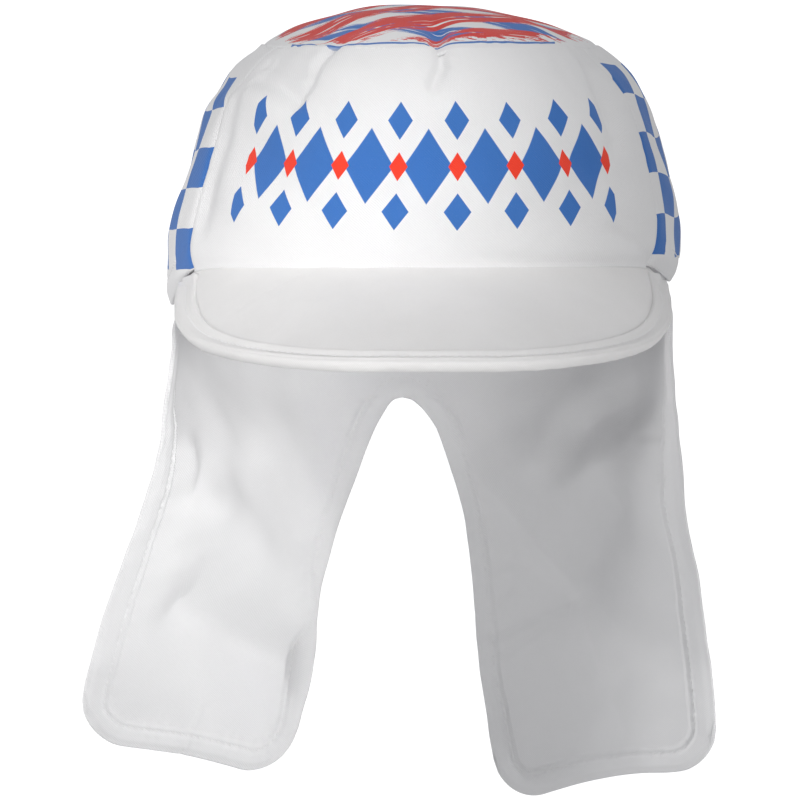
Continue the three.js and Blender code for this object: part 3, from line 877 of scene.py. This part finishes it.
def cotton(name, color, rib=1.0, bump=0.12, prints=None, shade_amount=1.0):
    """Washed cotton twill, with prints laid over it one after another."""
    material, t = empty_material(name)
    flat = t.add("ShaderNodeUVMap", uv_map="cloth_mm").outputs[0]
    position = t.add("ShaderNodeTexCoord").outputs["Object"]
    weave = t.add("ShaderNodeGroup", {"Place": flat, "Rib": rib}, node_tree=TWILL)
    lint = t.add("ShaderNodeGroup", {"Position": position, "Amount": shade_amount}, node_tree=LINT)
    # The weave's painted shade in its hollows, times the cloth's random mottling
    shade = t.times(weave.outputs["Shade"], lint.outputs["Shade"])
    tone = t.add("ShaderNodeVectorMath", {0: color[:3], "Scale": shade}, operation="SCALE").outputs[0]
    inside = t.add("ShaderNodeAttribute", attribute_name="inside").outputs["Fac"]
    if prints:
        place = t.add("ShaderNodeUVMap", uv_map="print_place").outputs[0]
        for ink, mask in prints(t, place):
            values = {"Cloth": tone, "Ink": ink, "Mask": mask, "Place": flat, "Inside": inside}
            tone = t.add("ShaderNodeGroup", values, node_tree=INK).outputs["Color"]
    flatness = t.calc("ABSOLUTE", t.calc("MULTIPLY_ADD", inside, 2.0, -1.0))
    woven = t.times(weave.outputs["Height"], flatness)
    height = t.calc("MULTIPLY_ADD", lint.outputs["Height"], 0.5, woven)
    normal = t.add("ShaderNodeBump", {"Strength": 0.55, "Distance": bump * MM, "Height": height}).outputs[0]
    shader = t.add("ShaderNodeBsdfPrincipled", {
        "Base Color": tone,
        "Roughness": lint.outputs["Roughness"],
        "Normal": normal,
        "Specular IOR Level": 0.25,
        "Sheen Weight": 0.18,
        "Sheen Roughness": 0.5,
    })
    output = t.add("ShaderNodeOutputMaterial")
    t.join(shader.outputs[0], output.inputs[0])
    return material


# Prints


def side_prints(t, place):
    return [(BLUE, check_mask(t, place))]


def front_prints(t, place):
    """A band of lozenges: a row of big ones, with small ones between them and over and under them."""
    reach = 3.6 * BAND_PITCH
    half = BAND_PITCH / 2
    across, up = t.parts(place)[:2]
    off_row = t.minus(t.calc("ABSOLUTE", up), 15.0)
    blue = lozenge_mask(t, across, up, BAND_PITCH, 0.0, 8.0, 12.5, reach)
    small = lozenge_mask(t, across, off_row, BAND_PITCH, half, 4.2, 6.2, reach)
    red = lozenge_mask(t, across, up, BAND_PITCH, half, 3.0, 4.8, reach)
    return [(BLUE, t.calc("MAXIMUM", blue, small)), (RED, red)]


def top_prints(t, place):
    """Crossing brush strokes in plan that stop short of the seam, and a thin line along its front."""
    edge = t.add("ShaderNodeAttribute", attribute_name="seam_distance").outputs["Fac"]
    across, depth = t.parts(place)[:2]
    ragged = t.noise(t.stretch(place, (0.11, 0.3, 1.0)), 1.0, 4.0, 0.7)
    end = t.ramp(t.calc("MULTIPLY_ADD", t.minus(ragged, 0.5), 26.0, edge), 7.2, 7.7)
    blue = t.times(brush_mask(t, place, 20.0, 24.0, 0.22, 3.0), end)
    red = t.times(brush_mask(t, place, -25.0, 25.0, 0.31, 8.0), end)
    line = t.calc("LESS_THAN", t.calc("ABSOLUTE", t.minus(edge, 4.0)), 0.8)
    middle = t.calc("LESS_THAN", t.calc("ABSOLUTE", across), 45.0)
    front = t.times(t.calc("LESS_THAN", depth, -40.0), middle)
    return [(BLUE, blue), (DEEP_RED, red), (BLUE, t.times(line, front))]


WHITE = (0.83, 0.83, 0.835, 1)
WHITE_COTTON = cotton("white cotton twill", WHITE, prints=front_prints)
CHECKED_COTTON = cotton("checked cotton twill", WHITE, prints=side_prints)
TOP_COTTON = cotton("brushed stripe cotton twill", WHITE, prints=top_prints)
# The peak's cloth is the crown's white cotton made greyer: the grey is painted shade of its upward-facing top
PEAK_COTTON_PAINTED_SHADE = cotton("peak cotton twill with painted shade", (0.77, 0.765, 0.76, 1), rib=0.8, bump=0.08, shade_amount=2.0)
BINDING_COTTON = cotton("binding cotton", (0.83, 0.825, 0.82, 1), rib=0.7, bump=0.16)
FLAP_COTTON = cotton("flap cotton twill", (0.82, 0.822, 0.83, 1), rib=0.9, bump=0.1)


def thread_material():
    """Plied thread, a little shiny next to the cloth."""
    material, t = empty_material("cotton thread")
    position = t.add("ShaderNodeTexCoord").outputs["Object"]
    ply = t.noise(position, 2600.0, 2.0, 0.6)
    tone = t.blend(ply, (0.74, 0.74, 0.75, 1), (0.86, 0.86, 0.86, 1))
    normal = t.add("ShaderNodeBump", {"Strength": 0.4, "Distance": 0.0001, "Height": ply}).outputs[0]
    rough = t.calc("MULTIPLY_ADD", ply, 0.2, 0.55)
    values = {"Base Color": tone, "Roughness": rough, "Normal": normal, "Sheen Weight": 0.2}
    shader = t.add("ShaderNodeBsdfPrincipled", values)
    output = t.add("ShaderNodeOutputMaterial")
    t.join(shader.outputs[0], output.inputs[0])
    return material


THREAD = thread_material()


# Stitches


def stitch_tree():
    """Geometry Nodes: short rounded threads laid end to end along a line of edges."""
    tree = bpy.data.node_groups.new("stitch line", "GeometryNodeTree")
    t = Tree(tree)
    face = tree.interface
    needed = {"Geometry": "Geometry", "Spacing": "Float", "Thread": "Float", "Material": "Material"}
    for name, kind in needed.items():
        face.new_socket(name, in_out="INPUT", socket_type="NodeSocket" + kind)
    face.new_socket("Geometry", in_out="OUTPUT", socket_type="NodeSocketGeometry")
    given = t.add("NodeGroupInput").outputs
    lie = t.add("GeometryNodeInputNamedAttribute", {"Name": "lie"}, data_type="FLOAT_VECTOR").outputs[0]
    line = t.add("GeometryNodeMeshToCurve", {"Mesh": given["Geometry"]}).outputs[0]
    dots = t.add("GeometryNodeCurveToPoints", {"Curve": line, "Length": given["Spacing"]}, mode="LENGTH")
    turned = t.add("FunctionNodeAlignRotationToVector", {"Vector": dots.outputs["Tangent"]}, axis="X")
    upright = t.add(
        "FunctionNodeAlignRotationToVector",
        {"Rotation": turned.outputs[0], "Vector": lie},
        axis="Z",
        pivot_axis="X",
    )
    bead = t.add("GeometryNodeMeshUVSphere", {"Segments": 6, "Rings": 5, "Radius": 0.5}).outputs[0]
    long = t.times(given["Spacing"], 0.8)
    size = t.add("ShaderNodeCombineXYZ", {0: long, 1: given["Thread"], 2: given["Thread"]}).outputs[0]
    placed = t.add("GeometryNodeInstanceOnPoints", {
        "Points": dots.outputs["Points"],
        "Instance": bead,
        "Rotation": upright.outputs[0],
        "Scale": size,
    }).outputs[0]
    real = t.add("GeometryNodeRealizeInstances", {0: placed}).outputs[0]
    even = t.add("GeometryNodeSetShadeSmooth", {"Geometry": real}).outputs[0]
    dressed = t.add("GeometryNodeSetMaterial", {"Geometry": even, "Material": given["Material"]}).outputs[0]
    output = t.add("NodeGroupOutput")
    t.join(dressed, output.inputs[0])
    return tree


STITCHES = stitch_tree()


def stitch_lines(name, lines, slot, spacing=2.8, thread=0.55):
    """Stitches along several lines, each a pair of points and directions in millimetres."""
    verts = []
    edges = []
    lies = []
    for points, normals in lines:
        start = len(verts)
        verts.extend((points * MM).tolist())
        lies.extend(normals.tolist())
        edges.extend((start + k, start + k + 1) for k in range(len(points) - 1))
    mesh = bpy.data.meshes.new(name + "_line")
    mesh.from_pydata(verts, edges, [])
    add_mark(mesh, "lie", lies, "FLOAT_VECTOR", "vector")
    line = placed(name + "_line", mesh)
    modifier = line.modifiers.new("stitches", "NODES")
    modifier.node_group = STITCHES
    socket = {item.name: item.identifier for item in STITCHES.interface.items_tree if item.in_out == "INPUT"}
    modifier[socket["Spacing"]] = spacing * MM
    modifier[socket["Thread"]] = thread * MM
    modifier[socket["Material"]] = THREAD
    depsgraph = bpy.context.evaluated_depsgraph_get()
    made = bpy.data.meshes.new_from_object(line.evaluated_get(depsgraph), depsgraph=depsgraph)
    bpy.data.objects.remove(line)
    made.name = name
    return finish_piece(placed(name, made), slot)


def tree_of(obj):
    return BVHTree.FromObject(obj, bpy.context.evaluated_depsgraph_get())


def on_surface(tree, points, directions, sink=0.05):
    """Where lines from outside meet a piece, as points in millimetres with the directions there."""
    start_out = 6
    reach = 0.02
    found = []
    normals = []
    for point, direction in zip(points, directions):
        start = Vector((point + direction * start_out) * MM)
        hit, normal, _, _ = tree.ray_cast(start, Vector(-direction), reach)
        if hit is None:
            continue
        found.append(np.array(hit) / MM - direction * sink)
        normals.append(np.array(normal))
    return np.array(found), np.array(normals)


# Crown


def front_places(points):
    """Places for the front band: lengths round the panel from its middle, and heights."""
    across = spread(points, 0).mean(1, keepdims=True) + 0 * points[..., 2]
    place = np.stack([across, points[..., 2] - BAND_MIDDLE], -1)
    place[..., 0] -= place[..., 0].mean()
    return place


def check_places(angle, rise, rises, v):
    away = np.abs(angle)
    lean = smooth(rise, 0.7, 0.95) * (1 - smooth(away, 76, 150))
    left_start = FRONT_SEAM + 12.0 * lean
    right_start = RIGHT_CHECK_START + 8.0 * lean
    left_column = (away - left_start) / LEFT_SQUARE
    column = np.where(angle < 0, left_column, (away - right_start) / RIGHT_SQUARE + 1)
    behind = smooth(away, FRONT_SEAM, 80)
    base = np.where(angle < 0, mix(*LEFT_BASE, behind), mix(*RIGHT_BASE, behind))
    base = mix(base, BACK_BASE, smooth(away, 90, 170))
    low = lower_edge(angle)
    start_rise = np.clip((base - low) / (seam_height(angle) - low), 0, 1)
    start_v = np.array([np.interp(start_rise[i], rises, v[i]) for i in range(len(angle))])
    return np.stack([column, (v - start_v) / CHECK_HEIGHT], -1)


def crown_panel(name, start, end, material, slot, node):
    """One panel of the crown wall between two seams, puckered along them."""
    is_front = node == "front_panel"
    columns = int((end - start) / 180 * math.pi * MM_PER_RADIAN / 1.25)
    overlap = 0.06
    angles = np.linspace(start - overlap, end + overlap, columns)
    rises = [np.linspace(0, 0.06, 6)[:-1], np.linspace(0.06, 0.94, 54)[:-1], np.linspace(0.94, 1, 7)]
    rises = np.concatenate([[-0.012], *rises] if is_front else rises)
    rise, angle = np.meshgrid(rises, angles)
    points = wall_point(angle, rise)
    u = np.radians(angle) * MM_PER_RADIAN
    v = spread(points, 1)
    place = front_places(points) if is_front else check_places(angle, rise, rises, v)
    cloth = sheet_of(points, np.stack([u, v], -1), place, turned=True)
    across, up = cloth.flat.T
    turn = across / MM_PER_RADIAN * 180 / math.pi
    low = lower_edge(turn)
    risen = (cloth.points[:, 2] - low) / (seam_height(turn) - low) * MM_PER_RISE
    from_seam = np.minimum(across - u.min(), u.max() - across)
    from_top = v.max() - up
    sunk = groove(from_seam, *SEAM_GROOVE) + groove(from_top, *WALL_TOP_GROOVE)
    sunk = sunk + pressed(in_wall(SHARP_WALL), across, risen)
    pucker = puckers(up, 0.83, 0.31, 1.5) * np.exp(-from_seam / PUCKER_FADE) * 0.06
    pucker = pucker + puckers(across, 0.71, 0.23, 2) * np.exp(-from_top / PUCKER_FADE) * 0.16
    uneven = undulation(across, up, 11, 38, 0.6) * smooth(from_seam, 0, 14)
    uneven = uneven + undulation(across, up, 12, 13, 0.08)
    lift = pucker + uneven * smooth(up, 0, 8) - sunk
    if not is_front:
        lift = lift - groove(up - CROWN_STITCH_RISE, *CROWN_STITCH_GROOVE)
    obj = thicken(name, cloth, lift, lift - CLOTH, material)
    return finish_piece(obj, slot, node)


crown_panel("crown_front", -FRONT_SEAM, FRONT_SEAM, WHITE_COTTON, "white_cotton", "front_panel")
LEFT = crown_panel(
    "crown_side_left", -180, -FRONT_SEAM, CHECKED_COTTON, "checked_cotton", "side_panel_left")
RIGHT = crown_panel(
    "crown_side_right", FRONT_SEAM, 180, CHECKED_COTTON, "checked_cotton", "side_panel_right")


def from_top_seam(at):
    """Angles of points of the top panel, and their distance in plan from its seam."""
    turn = np.arctan2(at[:, 0], -at[:, 1])
    edge = np.linalg.norm(wall_point(np.degrees(turn), np.ones_like(turn))[:, :2], axis=1)
    return turn, edge - np.hypot(at[:, 0], at[:, 1])


def crown_top():
    """The top panel: rings from the middle to the seam, with puckers along the seam."""
    angles = np.linspace(-180, 180, 301)
    reaches = np.concatenate([[0.0], np.linspace(0.02, 0.9, 44), np.linspace(0.915, 0.999, 9)])
    reach, angle = np.meshgrid(reaches, angles)
    points = top_point(angle, reach)
    flat = points[..., :2].copy()
    cloth = sheet_of(points, flat, flat, turned=True)
    cloth.turn_towards(2)
    at = cloth.points
    turn, away = from_top_seam(at)
    pucker = puckers(turn, 62, 19, 2) * np.exp(-away / PUCKER_FADE) * 0.16
    uneven = undulation(at[:, 0], at[:, 1], 21, 34, 0.5) * smooth(away, 0, 16)
    lift = pucker + uneven - groove(away, *TOP_PANEL_GROOVE) - pressed(SHARP_TOP, at[:, 0], at[:, 1])
    obj = thicken("crown_top", cloth, lift, lift - CLOTH, TOP_COTTON)
    coords = np.zeros(len(obj.data.vertices) * 3)
    obj.data.vertices.foreach_get("co", coords)
    _, distance = from_top_seam(coords.reshape(-1, 3) / MM)
    add_mark(obj.data, "seam_distance", distance)
    finish_piece(obj, "brushed_print_cotton", "top_panel")


crown_top()


# Peak
# Faint creases of its cloth in plan
PEAK_CREASES = (
    (-41.4, -90.4, -51.2, -95.8),
    (-51.2, -95.8, -61.2, -98.8),
    (-61.2, -98.8, -68.2, -103.5),
    (-65.9, -97.2, -69.5, -101.2),
)


def peak_cloth():
    """The cloth-covered plate of the peak."""
    across, out = np.meshgrid(np.linspace(-0.99, 0.99, 190), np.linspace(0, 1, 52), indexing="ij")
    far_edge = peak_point(across, np.ones_like(out))
    length = np.linalg.norm(far_edge - peak_point(across, np.zeros_like(out)), axis=-1)
    out = out * (1 - (BINDING_CLOTH + 2 * GAP) / length)
    points = peak_point(across, out)
    cloth = sheet_of(points, points[..., :2], np.stack([across, out * length], -1))
    cloth.turn_towards(2)
    at = cloth.flat
    lift = undulation(at[:, 0], at[:, 1], 31, 26, 0.16) + 0.25 * np.exp(-cloth.place[:, 1] / 5)
    for crease in PEAK_CREASES:
        lift = lift - groove(line_distance(at[:, 0], at[:, 1], *crease), *PEAK_CREASE)
    obj = thicken("peak_cloth", cloth, lift, lift - PEAK_PLATE, PEAK_COTTON_PAINTED_SHADE)
    finish_piece(obj, "white_cotton", "peak")


peak_cloth()

# Binding's section: share of its width from the inner edge, and its height over the plate
BINDING_SECTION = table(
    "share height",
    (0.0, 0.15),
    (0.04, 0.85),
    (0.1, 1.05),
    (0.2, 0.95),
    (0.35, 0.72),
    (0.5, 0.5),
    (0.6, 0.64),
    (0.75, 1.05),
    (0.88, 1.25),
    (1.0, 0.85),
)


def peak_edge():
    """The turned binding: a ridge at its inner edge, a sewn groove and a rolled lip."""
    columns = 330
    across = np.linspace(-1, 1, columns)
    ones = np.ones_like(across)
    length = np.linalg.norm(peak_point(across, ones) - peak_point(across, 0 * ones), axis=-1)
    width = along(PEAK, "seam", "binding", np.abs(across) * PEAK_SEAM)
    width = width * (1 + 0.16 * smooth(-across, 0.4, 0.8))
    start = np.maximum(1 - width / length, (CLOTH + BINDING_CLEAR) / length)
    lip = 1 - LIP_INSET / length
    rows = []
    shares = np.linspace(0, 1, 30)
    for share in shares:
        out = mix(start, lip, share)
        lift = along(BINDING_SECTION, "share", "height", share)
        rows.append(peak_point(across, out) + peak_up(across, out) * lift)
    tip = peak_point(across, ones)
    up = peak_up(across, ones)
    outward = unit(tip - peak_point(across, start))
    centre = tip - up * (PEAK_PLATE / 2) - outward * LIP_INSET
    radius = PEAK_PLATE / 2 + 1.0
    for k in range(1, 10):
        turn = math.pi * k / 10
        rows.append(centre + up * (radius * math.cos(turn)) + outward * (1.55 * math.sin(turn)))
    for share in shares[::-1]:
        out = mix(start, lip, share)
        rows.append(peak_point(across, out) - peak_up(across, out) * (PEAK_PLATE + 0.45 + 0.5 * share))
    points = np.stack(rows)
    flat = np.stack([spread(points, 1), spread(points, 0)], -1)
    cloth = sheet_of(points, flat, flat)
    cloth.turn_towards(2, cloth.points[:, 2] > -4)
    at = cloth.flat
    uneven = undulation(at[:, 0], at[:, 1] * 2, 41, 9, 0.07)
    obj = thicken("peak_edge", cloth, uneven, uneven - 0.42, BINDING_COTTON, rounds=3)
    finish_piece(obj, "binding_cotton", "peak_binding")
    seam_out = mix(start, lip, 0.52)
    line = peak_point(across, seam_out)[4:-4]
    return obj, line, peak_up(across, seam_out)[4:-4]


PEAK_EDGE, binding_line, binding_up = peak_edge()


# Neck flap


def flap_shares(run):
    """Shares across a lobe: close together in the hems, even between them."""
    hem = (HEM_WIDTH + 2.0) / run
    near = np.linspace(0, 1, 17)[:-1]
    first = [hem * k for k in near]
    middle = [mix(hem, 1 - hem, k) for k in np.linspace(0, 1, LOBE_COLUMNS)]
    return first + middle + [1 - share for share in first[::-1]]


def pick_share(run, column):
    """The share of each numbered column."""
    every = np.stack(flap_shares(run), -1)
    return np.take_along_axis(every, column.astype(int)[..., None], -1)[..., 0]


def flap_grid(side, steps, is_lobe):
    """Points and flat lengths of a lobe, or of the skirt over it, at steps going down."""
    columns = len(flap_shares(np.ones(1)))
    step, column = np.meshgrid(steps, np.arange(columns), indexing="ij")
    guess = mix(NOTCH_HEIGHT, LOBES[side]["inner"], step) if is_lobe else np.full_like(step, NOTCH_HEIGHT)
    run = flap_run(side, guess)
    near = pick_share(run, column)
    if is_lobe:
        level = mix(NOTCH_HEIGHT, lobe_bottom(side, near * run, run), step)
    else:
        top = lower_edge(SIGN[side] * mix(FLAP_START, 180, near)) + TUCK
        level = mix(top, NOTCH_HEIGHT, step)
    run = flap_run(side, level)
    share = pick_share(run, column)
    points = flap_point(side, share, level)
    _, half = flap_curve(side, level)
    flat = np.stack([SIGN[side] * ((1 - share) * run + half), level], -1)
    return points, flat


def sharp_folds(cloth):
    """Depth of the flap's sharp creases at its points."""
    level = cloth.points[:, 2]
    depth = np.zeros(len(level))
    for side, creases in SHARP_FLAP.items():
        run = flap_run(side, np.maximum(level, -206))
        _, half = flap_curve(side, level)
        from_front = run - (SIGN[side] * cloth.flat[:, 0] - half)
        on_side = SIGN[side] * cloth.flat[:, 0] > 0
        depth = depth + on_side * pressed(on_flap(creases, fold_span(run, half, level)), from_front, level)
    return depth


def free_edge(cloth):
    """Rim points of the flap that aren't sewn to the crown, in order."""
    loop = max(cloth.loops(), key=len)
    low = lower_edge(np.degrees(np.arctan2(cloth.points[:, 0], -cloth.points[:, 1])))
    sewn = cloth.points[:, 2] > low + TUCK - 0.6
    shift = next(i for i in range(len(loop)) if sewn[loop[i - 1]] and not sewn[loop[i]])
    loop = np.roll(loop, -shift)
    return loop[~sewn[loop]]


def neck_flap():
    """One cut of cloth, turned in and sewn round its free edges."""
    skirt_steps = np.linspace(0, 1, 40)
    notch_steps = np.linspace(0, 0.06, 14)[:-1]
    lobe_steps = np.concatenate([notch_steps, np.linspace(0.06, 0.9, 82)[:-1], np.linspace(0.9, 1, 20)])
    cloth = Cloth()
    for side in ("left", "right"):
        for steps, is_lobe in ((skirt_steps, False), (lobe_steps, True)):
            points, flat = flap_grid(side, steps, is_lobe)
            cloth.add_grid(points, flat, flat, turned=side == "right")
    cloth.weld()
    cloth.turn_towards(1)
    free = free_edge(cloth)
    near = KDTree(len(free))
    for i, k in enumerate(free):
        near.insert(Vector(cloth.points[k]), i)
    near.balance()
    found = [near.find(Vector(p)) for p in cloth.points]
    away = np.array([f[2] for f in found])
    run = lengths_along(cloth.points[free])[np.array([f[1] for f in found])]
    across, level = cloth.flat.T
    hem = 1 - smooth(away, HEM_WIDTH - 0.3, HEM_WIDTH + 0.35)
    sewn = bell(away - HEM_WIDTH + HEM_STITCH_INSET, HEM_GROOVE_WIDTH)
    pucker = puckers(run, 1.05, 0.37, 1.7) * bell(away - HEM_WIDTH + 1, 4.0) * 0.16
    uneven = undulation(across, level, 51, 46, 0.8) + undulation(across, level, 52, 17, 0.22)
    uneven = uneven * smooth(-level, 12, 45)
    mid = pucker + uneven + sharp_folds(cloth)
    outer = mid - HEM_GROOVE_OUTER * sewn
    doubled = (HEM_CLOTH - CLOTH) * hem * mix(0.1, 1, smooth(away, 0, 3))
    inner = mid - CLOTH - doubled + HEM_GROOVE_INNER * sewn
    obj = thicken("neck_flap_cloth", cloth, outer, inner, FLAP_COTTON)
    finish_piece(obj, "flap_cotton", "neck_flap")
    return obj, cloth.points[free], cloth.normals()[free], cloth.outward()[free]


FLAP_PIECE, flap_rim, flap_normal, flap_out = neck_flap()


def flap_stitches():
    """The hem's stitches, on both faces of the cloth."""
    tree = tree_of(FLAP_PIECE)
    path = flap_rim - flap_out * (HEM_WIDTH - HEM_STITCH_INSET)
    below_crown = -9
    step = 0.9
    keep = path[:, 2] < below_crown
    lengths = lengths_along(path[keep])
    places = np.linspace(0, lengths[-1], int(lengths[-1] / step))

    def evenly(values):
        return np.stack([np.interp(places, lengths, values[keep][:, k]) for k in range(3)], -1)

    points = evenly(path)
    facing = unit(evenly(flap_normal))
    outer = on_surface(tree, points, facing)
    inner = on_surface(tree, points, -facing)
    return stitch_lines("flap_stitches", [outer, inner], "flap_cotton")


FLAP_STITCHES = flap_stitches()
stitch_lines(
    "binding_stitches",
    [on_surface(tree_of(PEAK_EDGE), binding_line, binding_up)],
    "binding_cotton",
)


def hem_line(start, end):
    """The line of stitches above the crown's lower edge."""
    angle = np.linspace(start, end, 260)
    low = lower_edge(angle)
    rise = CROWN_STITCH_RISE / (seam_height(angle) - low)
    points = wall_point(angle, rise)
    ahead = wall_point(angle + 0.5, rise) - wall_point(angle - 0.5, rise)
    up = wall_point(angle, rise + 0.01) - wall_point(angle, rise - 0.01)
    return points, unit(np.cross(ahead, up))


left_line = on_surface(tree_of(LEFT), *hem_line(-179.3, -72))
right_line = on_surface(tree_of(RIGHT), *hem_line(72, 179.3))
stitch_lines("crown_hem_stitches", [left_line, right_line], "checked_cotton")

# Floor
FLOOR_HALF = 60.0
FLOOR_LEVEL = -0.62
floor_mesh = bpy.data.meshes.new("floor")
corners = [(x * FLOOR_HALF, y * FLOOR_HALF, FLOOR_LEVEL) for x, y in ((-1, -1), (1, -1), (1, 1), (-1, 1))]
floor_mesh.from_pydata(corners, [], [(0, 1, 2, 3)])
floor = placed("floor", floor_mesh)
floor_paint = bpy.data.materials.new("pale floor")
floor_paint.use_nodes = True
paint = floor_paint.node_tree.nodes["Principled BSDF"]
paint.inputs["Base Color"].default_value = (0.84, 0.84, 0.84, 1)
paint.inputs["Emission Color"].default_value = (1, 1, 1, 1)
backdrop = Tree(floor_paint.node_tree)
seen = backdrop.add("ShaderNodeLightPath").outputs["Is Camera Ray"]
backdrop.join(backdrop.calc("MULTIPLY_ADD", seen, 0.72, 0.03), paint.inputs["Emission Strength"])
paint.inputs["Roughness"].default_value = 1.0
paint.inputs["Specular IOR Level"].default_value = 0.0
floor_mesh.materials.append(floor_paint)


# Lights


def studio_spot(name, azimuth, elevation, distance, share, aim, patch, size):
    """A soft light on a round patch; share is its light there as a part of full white."""
    turn = math.radians(azimuth)
    rise = math.radians(elevation)
    way = Vector((math.sin(turn) * math.cos(rise), -math.cos(turn) * math.cos(rise), math.sin(rise)))
    place = Vector((0, 0, -0.04)) + way * distance
    data = bpy.data.lights.new(name, "SPOT")
    data.energy = 4 * math.pi**2 * distance**2 * share
    data.color = (1.0, 0.99, 0.98)
    data.shadow_soft_size = size
    data.spot_size = 2 * math.atan(patch / (Vector(aim) - place).length)
    data.spot_blend = 1.0
    light = placed(name, data)
    light.location = place
    light.rotation_mode = "QUATERNION"
    light.rotation_quaternion = (Vector(aim) - place).to_track_quat("-Z", "Y")


# Azimuth and elevation in degrees, distance in metres, share, aim, radius of the patch and of the lamp
SPOTS = {
    "key": (10, 5, 1.2, 0.65, (-0.17, 0, -0.04), 0.22, 0.08),
    "right_edge": (65, -10, 1.2, 0.35, (0.15, 0, -0.16), 0.07, 0.06),
    "left_lobe": (50, 0, 1.2, 0.4, (-0.08, 0.04, -0.08), 0.08, 0.06),
    "left_side": (-85, 5, 1.2, 0.35, (-0.22, 0, -0.09), 0.24, 0.08),
    "front_panel_light": (0, 40, 1.2, 0.4, (-0.01, 0, -0.02), 0.09, 0.05),
    "low_middle": (65, 15, 2.5, 0.45, (0.02, 0, -0.19), 0.08, 0.05),
    "middle": (10, 5, 2.5, 0.15, (0.02, 0, -0.04), 0.08, 0.05),
    "low_right": (-50, 30, 1.2, 0.25, (0.11, 0.03, -0.16), 0.05, 0.05),
}
for spot_name, spot_values in SPOTS.items():
    studio_spot(spot_name, *spot_values)

world = bpy.data.worlds.new("studio")
bpy.context.scene.world = world
world.use_nodes = True
sky = world.node_tree.nodes["Background"]
sky.inputs["Color"].default_value = (0.985, 0.985, 1.0, 1)
studio = Tree(world.node_tree)
seen = studio.add("ShaderNodeLightPath").outputs["Is Camera Ray"]
studio.join(studio.calc("MULTIPLY_ADD", seen, 0.55, 0.58), sky.inputs["Strength"])

# Camera: 1.4 m away and 8 degrees above the cap, where a millimetre of it is 2.78 pixels of the image
SENSOR = 36.0
IMAGE_PIXELS = 800
PIXELS_PER_MM = 2.78
CAMERA_DISTANCE = 1.4
CAMERA_RISE = math.radians(8)
AIM = Vector((-0.0079, 0.0, -0.0398))
camera_data = bpy.data.cameras.new("camera")
camera_data.sensor_width = SENSOR
camera_data.lens = SENSOR * PIXELS_PER_MM * CAMERA_DISTANCE / MM / IMAGE_PIXELS
camera_data.clip_end = 200.0
camera = placed("camera", camera_data)
camera.location = AIM + Vector((0, -math.cos(CAMERA_RISE), math.sin(CAMERA_RISE))) * CAMERA_DISTANCE
camera.rotation_euler = (math.radians(90) - CAMERA_RISE, 0, 0)
bpy.context.scene.camera = camera
bpy.context.scene.view_settings.view_transform = "Standard"
